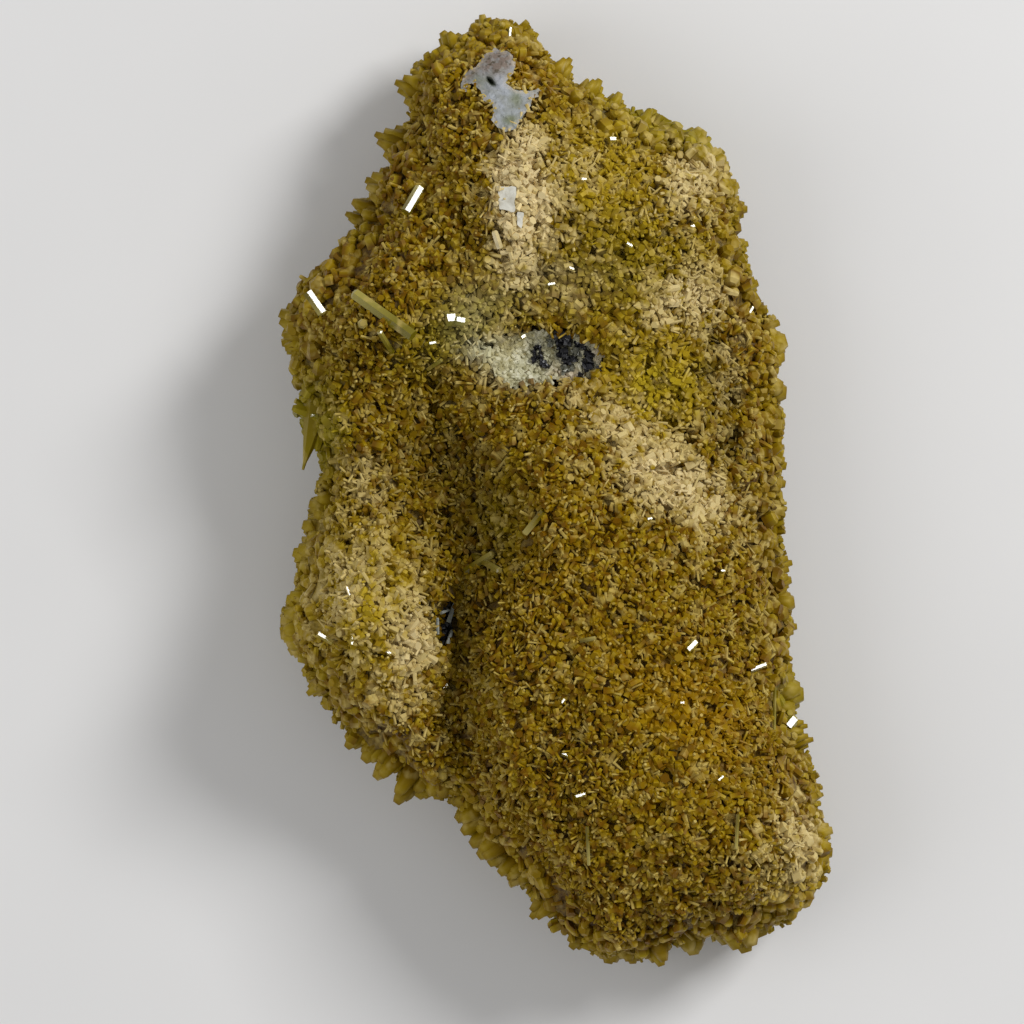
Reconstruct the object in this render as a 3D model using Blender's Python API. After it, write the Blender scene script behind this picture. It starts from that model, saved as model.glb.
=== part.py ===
"""Pyromorphite specimen: a slab of rock lying on its back under a crust of small hexagonal prisms.

Lengths in this file are millimetres until an object is finished, and MM turns them into metres.
+Y runs along the specimen to its narrow end, +Z out of the crystal-covered face, and the origin is
the middle of the specimen's footprint, on the surface that it rests on.
"""

import math
import random

import bmesh
import bpy
import numpy as np
from mathutils import Matrix, Vector, geometry, noise

MM = 0.001

# The crust's edge seen from above, clockwise from the narrow end, without the crystals on it.
OUTLINE = (
    (-7.5, 48.0), (-3.5, 47.5), (-1.0, 44.5), (5.5, 40.0), (10.0, 38.5), (16.5, 34.5),
    (18.5, 30.0), (18.5, 26.0), (21.0, 18.0), (22.5, 14.5), (22.0, 10.0), (23.0, 6.0),
    (22.0, -1.0), (22.5, -6.0), (23.5, -12.0), (24.0, -19.0), (24.5, -26.5), (26.0, -31.0),
    (27.7, -36.5), (26.5, -41.5), (21.0, -45.5), (13.0, -47.0), (7.0, -48.5), (2.5, -46.5),
    (-4.5, -39.5), (-10.0, -32.0), (-14.0, -30.5), (-21.5, -24.0), (-26.0, -18.0), (-27.5, -14.0),
    (-26.0, -7.0), (-24.0, 2.0), (-25.5, 6.5), (-26.5, 12.0), (-27.5, 17.5), (-25.0, 21.5),
    (-21.0, 25.5), (-18.0, 32.5), (-15.5, 38.0), (-14.0, 43.0), (-11.5, 46.0),
)
EDGE_STEPS = 160

# Heights above the surface that the specimen rests on, and how far in from the edge it is rounded.
# The lip, where the crust ends and bare rock begins, wanders up and down round the side.
PLATEAU = 20.0
RIM_HEIGHT = 9.0
LIP_HEIGHT = 3.4
LIP_LEAST = 0.8
LIP_WANDER = 4.5
LIP_STEP = 11.0
EDGE_ROUND = 12.0
SQUARENESS = 2.0
UNDERCUT = 2.2

# Swellings and hollows of the face: x, y, half-length, half-width, bearing in degrees, rise.
RELIEF = (
    (8.5, -22.0, 25.0, 14.0, -62.0, 6.0),
    (0.5, -1.0, 8.0, 5.0, -62.0, 3.0),
    (7.0, 30.5, 12.0, 10.0, 0.0, 3.5),
    (-4.0, 30.0, 9.0, 3.6, 88.0, 1.3),
    (15.0, 31.0, 4.5, 4.0, 0.0, 1.5),
    (-20.0, 16.5, 9.0, 7.0, 35.0, 3.5),
    (-21.0, -13.0, 11.0, 6.0, 80.0, 5.0),
    (-11.5, 1.5, 10.0, 6.0, -62.0, -6.5),
    (-9.8, -14.0, 8.0, 3.0, -88.0, -6.0),
    (-10.5, -25.0, 9.0, 3.0, -72.0, -4.0),
    (-12.0, 10.0, 8.0, 4.0, -25.0, -2.0),
    (17.5, 10.0, 8.0, 2.4, -80.0, -3.0),
    (11.0, 6.0, 8.0, 3.5, -35.0, -2.0),
    (24.0, -36.0, 5.0, 5.0, 0.0, 3.0),
    (-7.5, 47.0, 6.0, 6.0, 0.0, -2.0),
    (-1.0, 13.8, 6.5, 3.4, -10.0, -3.6),
    (-11.2, -13.2, 3.4, 2.0, 80.0, -1.5),
)
LUMP_STEP = 6.5
LUMP_RISE = 1.3
BUMP_STEP = 2.6
BUMP_RISE = 0.5

# The crust's mesh: its points stand on rings near the edge and on a grid inside them. Every second
# point of a ring, and every third of the grid, is the tip of a tooth and the rest lie between teeth.
CRUST_RIM_POINTS = 110
CRUST_WALL_INSETS = (1.0, 0.25)
CRUST_SIDE_HEIGHTS = (7.0, 3.6, 0.5)
CRUST_FOOT = -2.0
CRUST_RING_INSETS = (2.4, 4.3)
CRUST_GRID = 2.35
TOOTH_TIPS = (0.5, 1.5)
TOOTH_GAPS = (-0.6, -0.1)
TOOTH_LEAN = 0.4

# The ground that the crust's lip is cut along.
GROUND_HALF_SIZE = (36.0, 58.0)
GROUND_GRID = 5.0
GROUND_FOOT = -4.0

# The rock under the crust, and its foot: how far in from the outline, and at what height.
CRUST_THICKNESS = 4.2
ROCK_RIM_POINTS = 34
ROCK_GRID = 7.0
ROCK_SHOULDER = 9.5
ROCK_SIDES = ((4.2, 7.0), (3.2, 4.2), (2.4, 1.7), (4.2, 0.0))
ROCK_ROUGHNESS = 1.0
ROCK_GRAIN = 3.5
GAP = 0.3

# Where the rock breaks through the crust, clockwise: the middle hollow, then the pit on the left.
BARE_SPOTS = (
    (
        (-7.1, 13.9), (-6.2, 15.7), (-3.8, 16.3), (-1.2, 16.6), (1.9, 16.2), (4.3, 14.9),
        (4.8, 12.8), (3.5, 11.4), (0.4, 11.6), (-2.3, 10.9), (-4.9, 10.7), (-6.4, 11.9),
    ),
    (
        (-13.1, -12.8), (-12.6, -11.5), (-11.6, -11.0), (-10.4, -11.5), (-10.0, -13.2),
        (-10.4, -15.3), (-11.3, -16.9), (-12.3, -16.5), (-12.9, -14.7),
    ),
)
BOSS_DEPTH = 9.0
BOSS_FLARE = 1.25
BOSS_ROUGHNESS = 0.4
WINDOW_DEPTH = 3.0
WINDOW_HEIGHT = 5.0

# Dark ore grains in the bare spots: x, y, length, width, height and bearing.
ORE_GRAINS = {
    "dark_ore_hollow": (1.6, 14.0, 5.0, 3.6, 2.0, -20.0),
    "dark_ore_pit": (-11.5, -13.9, 4.2, 1.8, 1.8, 85.0),
}
ORE_SUNK = 0.35

# The flat patch of pale mineral near the narrow end, clockwise, and the point that it spreads from.
PATCH_OUTLINE = (
    (-6.6, 45.3), (-5.0, 44.8), (-4.6, 43.0), (-5.3, 41.8), (-4.2, 41.2), (-1.8, 41.3),
    (-2.4, 39.8), (-3.6, 37.8), (-4.8, 37.2), (-6.0, 38.0), (-6.2, 39.6), (-7.2, 41.2),
    (-8.8, 41.6), (-9.6, 41.2), (-9.2, 42.6), (-8.2, 43.6),
)
PATCH_MIDDLE = (-5.8, 41.6)
PATCH_RISE = 0.9
PATCH_DEPTH = 0.8

# Crystals: how deep their roots go, how far apart they stand, and how they vary.
SIDES = 6
SEED = 11
ROOT_DEPTH = 1.8
TAPER = 0.86
RIM_CRYSTALS = {"spacing": 4.2, "width": (1.3, 2.0), "reach": (1.0, 1.7), "lean": 0.22}
FACE_CRYSTALS = {"spacing": 6.4, "width": (1.4, 2.2), "reach": (1.6, 2.5), "lean": 0.35}
LIP_MARGIN = 1.3
RIM_TRIES = 1500
FACE_TRIES = 2500
FACE_MARGIN = 1.2
KEEP_CLEAR = 2.6

# Crystals that stand out in the specimen's outline: root x, y, tip x, y, and width.
OUTLINE_CRYSTALS = (
    (-8.0, 47.4, -8.3, 50.0, 1.9), (-4.4, 47.0, -4.2, 49.1, 1.7), (-11.0, 45.2, -12.0, 46.9, 1.5),
    (-13.6, 41.4, -16.7, 42.8, 2.2), (-15.4, 36.4, -18.8, 37.4, 2.3), (-17.0, 32.0, -19.6, 32.2, 2.3),
    (-19.6, 28.2, -21.4, 29.6, 1.3), (-26.6, 17.2, -29.1, 18.0, 2.2), (-25.6, 20.4, -26.6, 22.4, 1.8),
    (-25.8, 7.6, -26.6, 2.3, 2.0), (-25.4, 8.2, -27.4, 8.6, 1.6), (-27.0, -13.6, -29.1, -13.0, 2.2),
    (-26.4, -5.6, -28.0, -5.4, 1.9), (-23.6, -20.4, -26.2, -21.2, 1.6), (-20.4, -24.8, -22.2, -27.4, 1.7),
    (-16.2, -29.2, -19.0, -30.4, 1.5), (-13.4, -30.4, -16.8, -32.8, 1.6), (-4.0, -39.4, -3.0, -44.6, 1.4),
    (1.4, -46.0, 1.0, -48.6, 1.6), (6.0, -48.0, 5.6, -49.85, 2.0), (10.2, -47.6, 10.6, -49.85, 1.9),
    (13.8, -47.0, 14.0, -48.8, 1.4), (19.2, -45.6, 19.6, -48.5, 2.2), (23.6, -43.2, 24.2, -45.3, 1.8),
    (27.2, -38.4, 28.94, -37.6, 2.2), (24.8, -28.6, 27.6, -26.4, 1.5), (24.2, -21.4, 26.0, -20.8, 1.7),
    (23.6, -13.6, 25.2, -14.2, 1.6), (22.4, -3.0, 24.0, -2.2, 1.8), (22.6, 2.6, 24.2, 2.4, 1.8),
    (22.6, 9.6, 24.3, 10.2, 2.2), (22.4, 15.0, 24.2, 15.8, 1.7), (18.6, 29.0, 20.2, 29.4, 1.9),
    (16.4, 34.8, 15.8, 37.8, 2.0), (9.6, 38.4, 10.2, 40.0, 1.5), (1.6, 41.8, 1.8, 44.4, 1.3),
)
OUTLINE_LEVELS = (-1.5, 1.5)
# The longest crystal, which lies on the left shoulder: root x, y, tip x, y, and width.
LONG_CRYSTAL = (-14.2, 15.8, -20.8, 20.2, 1.5)

# Material colours, roughness and metallic value.
FINISHES = {
    "rock": ((0.42, 0.37, 0.26), 0.85, 0.0),
    "pyromorphite": ((0.20, 0.125, 0.012), 0.35, 0.0),
    "pale_mineral": ((0.40, 0.43, 0.43), 0.6, 0.0),
    "dark_ore": ((0.03, 0.03, 0.035), 0.4, 0.3),
}


def clear_scene():
    for obj in list(bpy.data.objects):
        bpy.data.objects.remove(obj)


def closed_curve(corners, count):
    """count points spaced along a smooth closed curve through the corners."""
    corners = np.array(corners)
    places = np.arange(count) * len(corners) / count
    start = places.astype(int)
    t = (places - start)[:, None]
    before, here, after, beyond = (corners[(start + k) % len(corners)] for k in (-1, 0, 1, 2))
    bend = 2.0 * here + (after - before) * t
    bend += (2.0 * before - 5.0 * here + 4.0 * after - beyond) * t**2
    bend += (3.0 * here - before - 3.0 * after + beyond) * t**3
    return bend / 2.0


EDGE = closed_curve(OUTLINE, EDGE_STEPS)


def depth_inside(x, y):
    """How far x, y is from the outline: more than 0 inside it, less than 0 outside."""
    start = EDGE
    along = np.roll(EDGE, -1, axis=0) - start
    to_place = np.array((x, y)) - start
    share = np.clip((to_place * along).sum(axis=1) / (along**2).sum(axis=1), 0.0, 1.0)
    nearest = np.linalg.norm(to_place - along * share[:, None], axis=1).min()
    crossed = (to_place[:, 1] < 0.0) != (to_place[:, 1] < along[:, 1])
    ahead = to_place[:, 0] < along[:, 0] * to_place[:, 1] / np.where(crossed, along[:, 1], 1.0)
    return nearest if (crossed & ahead).sum() % 2 else -nearest


def swelling(x, y, feature):
    """How much one feature of the relief raises the face at x, y."""
    centre_x, centre_y, length, width, bearing, rise = feature
    turn = math.radians(bearing)
    along = (x - centre_x) * math.cos(turn) + (y - centre_y) * math.sin(turn)
    across = (y - centre_y) * math.cos(turn) - (x - centre_x) * math.sin(turn)
    return rise * math.exp(-((along / length) ** 2) - (across / width) ** 2)


def face_height(x, y):
    """The face's height at x, y: a plateau with the relief on it, rounded off towards the edge."""
    plateau = PLATEAU + sum(swelling(x, y, feature) for feature in RELIEF)
    inward = min(1.0, max(0.0, depth_inside(x, y)) / EDGE_ROUND)
    lift = (1.0 - (1.0 - inward) ** SQUARENESS) ** (1.0 / SQUARENESS)
    return RIM_HEIGHT + (plateau - RIM_HEIGHT) * lift


def face_normal(x, y):
    step = 0.25
    slope_x = (face_height(x + step, y) - face_height(x - step, y)) / (2.0 * step)
    slope_y = (face_height(x, y + step) - face_height(x, y - step)) / (2.0 * step)
    return Vector((-slope_x, -slope_y, 1.0)).normalized()


def lumps(place):
    """How far rounded clusters, and smaller ones on them, stand above the even surface."""
    return LUMP_RISE * noise.noise(place / LUMP_STEP) + BUMP_RISE * noise.noise(place / BUMP_STEP)


def face_point(x, y):
    place = Vector((x, y, face_height(x, y)))
    return place + face_normal(x, y) * lumps(place)


def edge_frame(turn):
    """The outline's point a share turn of the way round, and the direction out of it."""
    place = turn % 1.0 * EDGE_STEPS
    start = int(place)
    here, after = (EDGE[(start + k) % EDGE_STEPS] for k in (0, 1))
    point = here + (after - here) * (place - start)
    along = EDGE[(start + 2) % EDGE_STEPS] - EDGE[start - 1]
    outward = np.array((-along[1], along[0])) / np.linalg.norm(along)
    return Vector((*point, 0.0)), Vector((*outward, 0.0))


def side_point(turn, height):
    """A point of the crust's side, which turns in under the widest level."""
    point, outward = edge_frame(turn)
    below = max(0.0, (RIM_HEIGHT - height) / RIM_HEIGHT)
    point.z = height
    return point + outward * (lumps(point) - UNDERCUT * below**2)


def lip_height(x, y):
    """The level at which the crust ends and bare rock begins."""
    wave = noise.noise(Vector((x, y, 0.0)) / LIP_STEP)
    return max(LIP_LEAST, LIP_HEIGHT + LIP_WANDER * wave)


def grid_places(spacing, margin):
    """(x, y, is a tooth's tip) on a grid of equal triangles, at least margin inside the outline."""
    row_step = spacing * math.sqrt(3.0) / 2.0
    low, high = EDGE.min(axis=0), EDGE.max(axis=0)
    places = []
    for row in range(int((high[1] - low[1]) / row_step) + 1):
        shift = spacing / 2.0 * (row % 2)
        for column in range(int((high[0] - low[0]) / spacing) + 1):
            x = low[0] + shift + column * spacing
            y = low[1] + row * row_step
            if depth_inside(x, y) > margin:
                places.append((x, y, (column - row // 2 - row) % 3 == 0))
    return places


def ring_places(count, inset):
    """(x, y, is a tooth's tip) round the outline, inset from it."""
    places = []
    for k in range(count):
        point, outward = edge_frame(k / count)
        x, y, _ = point - outward * inset
        places.append((x, y, k % 2 == 0))
    return places


def clear_places(places, inset):
    """The places that the outline's bends haven't brought nearer to it than the inset."""
    return [place for place in places if depth_inside(place[0], place[1]) > inset * 0.85]


def toothed(point, outward, is_tip, chance):
    """point, moved out to a tooth's tip, which leans a little, or in to the gap between teeth."""
    move = outward * chance.uniform(*(TOOTH_TIPS if is_tip else TOOTH_GAPS))
    lean = Vector([chance.uniform(-TOOTH_LEAN, TOOTH_LEAN) for _ in range(3)])
    return point + move + lean


def ground():
    """A cutter under the crust, whose uneven top gives the crust its lip."""
    half_x, half_y = GROUND_HALF_SIZE
    plan = [(-half_x, -half_y), (-half_x, half_y), (half_x, half_y), (half_x, -half_y)]
    foot = [Vector((x, y, GROUND_FOOT)) for x, y in plan]
    plan += [(x, y) for x, y, _ in grid_places(GROUND_GRID, -GROUND_GRID)]
    tops = [Vector((x, y, lip_height(x, y))) for x, y in plan]
    return cap_solid("ground", plan, tops, [foot])


def cap_solid(name, plan, tops, side_rings):
    """A closed solid: a top, then rings down to a flat fill.

    plan says where each point of the top lies before it is moved, which settles the top's triangles.
    Its first points, as many as a ring has, are the top's rim.
    """
    rim = list(range(len(side_rings[0])))
    _, _, faces, *_ = geometry.delaunay_2d_cdt([Vector(place) for place in plan], [], [rim], 1, 1e-5)
    mesh = bmesh.new()
    top_vertices = [mesh.verts.new(point) for point in tops]
    for face in faces:
        mesh.faces.new([top_vertices[index] for index in face])
    upper = top_vertices[: len(rim)]
    for ring in side_rings:
        lower = [mesh.verts.new(point) for point in ring]
        for k in range(len(ring)):
            after = (k + 1) % len(ring)
            mesh.faces.new((upper[k], upper[after], lower[after], lower[k]))
        upper = lower
    mesh.faces.new(upper)
    bmesh.ops.triangulate(mesh, faces=mesh.faces, ngon_method="EAR_CLIP")
    bmesh.ops.recalc_face_normals(mesh, faces=mesh.faces)
    return made_object(name, mesh)


def made_object(name, mesh):
    data = bpy.data.meshes.new(name)
    mesh.to_mesh(data)
    mesh.free()
    obj = bpy.data.objects.new(name, data)
    bpy.context.scene.collection.objects.link(obj)
    return obj


def crust_body():
    """The crust's mass with its teeth but no prisms, solid through and down past its lip."""
    chance = random.Random(SEED)
    rim_inset, *wall_insets = CRUST_WALL_INSETS
    places = ring_places(CRUST_RIM_POINTS, rim_inset)
    for inset in CRUST_RING_INSETS:
        places += clear_places(ring_places(CRUST_RIM_POINTS, inset), inset)
    places += grid_places(CRUST_GRID, CRUST_RING_INSETS[-1] + CRUST_GRID * 0.7)
    tops = face_teeth(places, chance)
    rings = [face_teeth(ring_places(CRUST_RIM_POINTS, inset), chance) for inset in wall_insets]
    rings += [side_teeth(height, chance) for height in CRUST_SIDE_HEIGHTS]
    turns = [k / CRUST_RIM_POINTS for k in range(CRUST_RIM_POINTS)]
    rings.append([side_point(turn, CRUST_FOOT) for turn in turns])
    return cap_solid("crust body", [(x, y) for x, y, _ in places], tops, rings)


def face_teeth(places, chance):
    return [toothed(face_point(x, y), face_normal(x, y), is_tip, chance) for x, y, is_tip in places]


def side_teeth(height, chance):
    """A ring of teeth round the crust's side."""
    ring = []
    for k in range(CRUST_RIM_POINTS):
        turn = k / CRUST_RIM_POINTS
        _, outward = edge_frame(turn)
        ring.append(toothed(side_point(turn, height), outward, k % 2 == 1, chance))
    return ring


def rough(place, amount):
    """place, moved up to about amount each way, which gives broken rock its uneven faces."""
    waves = [noise.noise(place / ROCK_GRAIN + Vector((axis * 31.0, 0.0, 0.0))) for axis in range(3)]
    return place + Vector(waves) * amount


def rock_top(x, y):
    return Vector((x, y, max(face_height(x, y) - CRUST_THICKNESS, ROCK_SHOULDER)))


def rock_body():
    """The rock: its top follows the face under the crust, and its foot ends in a flat base."""
    rings = []
    for inset, height in ROCK_SIDES:
        ring = []
        for k in range(ROCK_RIM_POINTS):
            point, outward = edge_frame(k / ROCK_RIM_POINTS)
            point = rough(point - outward * inset + Vector((0.0, 0.0, height)), ROCK_ROUGHNESS)
            if height == 0.0:
                point.z = 0.0
            ring.append(point)
        rings.append(ring)
    inner = grid_places(ROCK_GRID, ROCK_SIDES[0][0] + ROCK_GRID * 0.5)
    tops = rings[0] + [rock_top(x, y) for x, y, _ in inner]
    return cap_solid("rock body", [point.xy for point in tops], tops, rings[1:])


def blob(name, centre, half_size, bearing, roughness):
    """A closed rough lump with the given half sizes."""
    mesh = bmesh.new()
    bmesh.ops.create_icosphere(mesh, subdivisions=2, radius=1.0)
    turn = Matrix.Rotation(math.radians(bearing), 3, "Z")
    for vertex in mesh.verts:
        place = turn @ Vector([part * half for part, half in zip(vertex.co, half_size)]) + centre
        vertex.co = rough(place, roughness)
    return made_object(name, mesh)


def over_face(middle, corners, share, rise):
    """Points over the face, each a share of the way from the middle to its corner."""
    points = []
    for corner in corners:
        x, y = middle.lerp(Vector(corner), share)
        points.append(Vector((x, y, face_height(x, y) + rise)))
    return points


def boss(corners):
    """A flat-topped lump of rock that comes up through the crust where it is bare."""
    middle = sum((Vector(corner) for corner in corners), Vector((0.0, 0.0))) / len(corners)
    foot = over_face(middle, corners, BOSS_FLARE, -BOSS_DEPTH)
    tops = over_face(middle, corners, 1.0, 0.0)
    for share in (0.7, 0.35):
        tops += [rough(point, BOSS_ROUGHNESS) for point in over_face(middle, corners, share, 0.3)]
    return cap_solid("boss", [point.xy for point in tops], tops, [foot])


def window(corners, depth):
    """A cutter that opens the crust over the corners, from depth under the face to clear above it."""
    middle = sum((Vector(corner) for corner in corners), Vector((0.0, 0.0))) / len(corners)
    top = over_face(middle, corners, 1.0, WINDOW_HEIGHT)
    made = cap_solid("window", corners, top, [over_face(middle, corners, 1.0, -depth)])
    cutter = swollen(made)
    bpy.data.objects.remove(made)
    return cutter


def ore_grain(name):
    x, y, length, width, height, bearing = ORE_GRAINS[name]
    centre = Vector((x, y, face_height(x, y) + height * (0.5 - ORE_SUNK)))
    return blob(name, centre, (length / 2, width / 2, height / 2), bearing, BOSS_ROUGHNESS)


def patch():
    """The pale mineral: a thin slab let into the crust, following the face under it."""
    middle = Vector(PATCH_MIDDLE)
    tops = over_face(middle, PATCH_OUTLINE, 1.0, PATCH_RISE)
    tops += over_face(middle, PATCH_OUTLINE[::3], 0.45, PATCH_RISE)
    foot = over_face(middle, PATCH_OUTLINE, 0.96, -PATCH_DEPTH)
    return cap_solid("pale_patch", [point.xy for point in tops], tops, [foot])


def prism(root, tip, width, spin):
    """A hexagonal prism from root to tip, with a flat end a little narrower than its foot."""
    along = tip - root
    mesh = bmesh.new()
    rings = []
    for height, share in ((0.0, 1.0), (along.length, TAPER)):
        ring = []
        for k in range(SIDES):
            angle = math.tau * k / SIDES + spin
            across = Vector((math.cos(angle), math.sin(angle), 0.0)) * (width / 2.0 * share)
            ring.append(mesh.verts.new(across + Vector((0.0, 0.0, height))))
        rings.append(ring)
    for k in range(SIDES):
        after = (k + 1) % SIDES
        mesh.faces.new((rings[0][k], rings[0][after], rings[1][after], rings[1][k]))
    mesh.faces.new(rings[0][::-1])
    mesh.faces.new(rings[1])
    mesh.transform(Matrix.Translation(root) @ along.to_track_quat("Z", "Y").to_matrix().to_4x4())
    return made_object("crystal", mesh)


def on_bare_ground(place):
    """True on the bare rock and on the pale mineral, and a little round them."""
    corners = [corner for outline in (*BARE_SPOTS, PATCH_OUTLINE) for corner in outline]
    return any(math.dist(corner, place.xy) < KEEP_CLEAR for corner in corners)


def outline_crystals(chance):
    """(root, tip, width, spin) of the crystals that stand out in the outline, and of the longest."""
    made = []
    for root_x, root_y, tip_x, tip_y, width in OUTLINE_CRYSTALS:
        root = Vector((root_x, root_y, RIM_HEIGHT + chance.uniform(*OUTLINE_LEVELS)))
        tip = Vector((tip_x, tip_y, root.z + chance.uniform(-0.5, 0.8)))
        made.append((root + (root - tip).normalized() * ROOT_DEPTH, tip, width, chance.random()))
    root_x, root_y, tip_x, tip_y, width = LONG_CRYSTAL
    root = face_point(root_x, root_y) - face_normal(root_x, root_y) * 0.4
    tip = face_point(tip_x, tip_y) + face_normal(tip_x, tip_y) * 0.7
    made.append((root, tip, width, chance.random()))
    return made


def rim_place(chance):
    turn = chance.random()
    point, outward = edge_frame(turn)
    lowest = lip_height(point.x, point.y) + LIP_MARGIN
    return side_point(turn, chance.uniform(lowest, RIM_HEIGHT)), outward


def face_place(chance):
    low, high = EDGE.min(axis=0), EDGE.max(axis=0)
    x = chance.uniform(low[0], high[0])
    y = chance.uniform(low[1], high[1])
    if depth_inside(x, y) < FACE_MARGIN:
        return None
    return face_point(x, y), face_normal(x, y)


def scattered_crystals(chance, found, place_maker, tries, kind):
    """Adds crystals to found, each far enough from the others and off the bare ground."""
    for _ in range(tries):
        where = place_maker(chance)
        lean = Vector([chance.gauss(0.0, kind["lean"]) for _ in range(3)])
        width = chance.uniform(*kind["width"])
        reach = chance.uniform(*kind["reach"])
        spin = chance.random()
        if where is None or on_bare_ground(where[0]):
            continue
        place, outward = where
        if any((place - root.lerp(tip, 0.6)).length < kind["spacing"] for root, tip, *_ in found):
            continue
        direction = (outward + lean).normalized()
        found.append((place - direction * ROOT_DEPTH, place + direction * reach, width, spin))


def leading_crystals():
    chance = random.Random(SEED)
    found = outline_crystals(chance)
    scattered_crystals(chance, found, rim_place, RIM_TRIES, RIM_CRYSTALS)
    scattered_crystals(chance, found, face_place, FACE_TRIES, FACE_CRYSTALS)
    return found


def combined(name, body, others, operation):
    """A new object: body joined with, or cut by, all the others. body and the others go."""
    group = bpy.data.collections.new("operands")
    for other in others:
        group.objects.link(other)
    modifier = body.modifiers.new(operation.lower(), "BOOLEAN")
    modifier.operation = operation
    modifier.operand_type = "COLLECTION"
    modifier.collection = group
    modifier.solver = "EXACT"
    graph = bpy.context.evaluated_depsgraph_get()
    data = bpy.data.meshes.new_from_object(body.evaluated_get(graph))
    made = bpy.data.objects.new(name, data)
    bpy.context.scene.collection.objects.link(made)
    for operand in (body, *others):
        bpy.data.objects.remove(operand)
    bpy.data.collections.remove(group)
    return made


def swollen(obj):
    """A copy of obj that is larger by the gap all round, to cut its bed in a neighbour."""
    mesh = bmesh.new()
    mesh.from_mesh(obj.data)
    mesh.normal_update()
    moves = [vertex.normal * GAP for vertex in mesh.verts]
    for vertex, move in zip(mesh.verts, moves):
        vertex.co += move
    return made_object("cutter", mesh)


def finish(obj, finish_name):
    """Turns obj into metres and gives it its material."""
    obj.data.transform(Matrix.Scale(MM, 4))
    colour, roughness, metallic = FINISHES[finish_name]
    material = bpy.data.materials.get(finish_name) or bpy.data.materials.new(finish_name)
    material.use_nodes = True
    shader = material.node_tree.nodes["Principled BSDF"]
    shader.inputs["Base Color"].default_value = (*colour, 1.0)
    shader.inputs["Roughness"].default_value = roughness
    shader.inputs["Metallic"].default_value = metallic
    obj.data.materials.clear()
    obj.data.materials.append(material)
    obj.data.shade_flat()


def main():
    clear_scene()
    rock = combined("rock", rock_body(), [boss(corners) for corners in BARE_SPOTS], "UNION")
    crystals = [prism(*facts) for facts in leading_crystals()]
    druse = combined("druse", crust_body(), crystals, "UNION")
    windows = [window(corners, WINDOW_DEPTH) for corners in BARE_SPOTS]
    windows.append(window(PATCH_OUTLINE, PATCH_DEPTH))
    crust = combined("crystal_crust", druse, [swollen(rock), ground(), *windows], "DIFFERENCE")
    grains = [ore_grain(name) for name in ORE_GRAINS]
    matrix = combined("matrix", rock, [swollen(grain) for grain in grains], "DIFFERENCE")
    finish(matrix, "rock")
    finish(crust, "pyromorphite")
    finish(patch(), "pale_mineral")
    for grain in grains:
        finish(grain, "dark_ore")


main()
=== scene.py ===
"""Looks of the pyromorphite specimen: thousands of small prisms on a lumpy crust over broken rock.

Lengths in this file are millimetres, and MM turns them into metres where a mesh is made. Only the
lights are in metres. Places are x, y and z in the frame's own axes, with z = 0 on the surface that
the specimen rests on.
"""

import math
from collections import namedtuple

import bpy
import numpy as np
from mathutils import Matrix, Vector, geometry, noise


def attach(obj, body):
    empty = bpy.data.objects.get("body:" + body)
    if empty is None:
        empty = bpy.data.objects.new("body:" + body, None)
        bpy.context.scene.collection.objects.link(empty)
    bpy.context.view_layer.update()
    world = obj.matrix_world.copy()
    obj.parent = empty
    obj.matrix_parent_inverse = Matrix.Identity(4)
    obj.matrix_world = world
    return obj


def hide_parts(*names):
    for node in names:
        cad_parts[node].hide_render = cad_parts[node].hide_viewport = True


MM = 0.001
BODY = "root"
UP = (0.0, 0.0, 1.0)
CRYSTAL_SEED = 7

# The crust's edge seen from above, clockwise from the narrow end, as the solids have it.
OUTLINE = (
    (-7.5, 48), (-3.5, 47.5), (-1, 44.5), (5.5, 40), (10, 38.5), (16.5, 34.5),
    (18.5, 30), (18.5, 26), (21, 18), (22.5, 14.5), (22, 10), (23, 6),
    (22, -1), (22.5, -6), (23.5, -12), (24, -19), (24.5, -26.5), (26, -31),
    (27.7, -36.5), (26.5, -41.5), (21, -45.5), (13, -47), (7, -48.5), (2.5, -46.5),
    (-4.5, -39.5), (-10, -32), (-14, -30.5), (-21.5, -24), (-26, -18), (-27.5, -14),
    (-26, -7), (-24, 2), (-25.5, 6.5), (-26.5, 12), (-27.5, 17.5), (-25, 21.5),
    (-21, 25.5), (-18, 32.5), (-15.5, 38), (-14, 43), (-11.5, 46),
)
EDGE_STEPS = 160

# Heights of the face and its rim, and how the crust's side turns in and ends at a wandering lip.
PLATEAU = 20.0
RIM_HEIGHT = 9.0
EDGE_ROUND = 12.0
UNDERCUT = 2.2
SIDE_TILT = 0.5
LIP_HEIGHT = 3.4
LIP_LEAST = 0.8
LIP_WANDER = 4.5
LIP_STEP = 11.0
LIP_CLEAR = 0.2

# Lumps of the crust, from large to small: how far apart they are, and how far they rise. The
# smallest are clusters, with gaps between them.
LUMPS = ((6.5, 1.3), (2.6, 0.5))
CLUSTER_STEP = 1.5
CLUSTER_RISE = 0.5
CLUSTER_TILT = 1.6
FACE_SLOPE_STEP = 0.25
LUMP_SLOPE_STEP = 0.2
GAP_STEP = 1.5
GAP_DEPTH = 1.1
GAP_STEEPNESS = 4.0
GAP_START = 0.9

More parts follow.
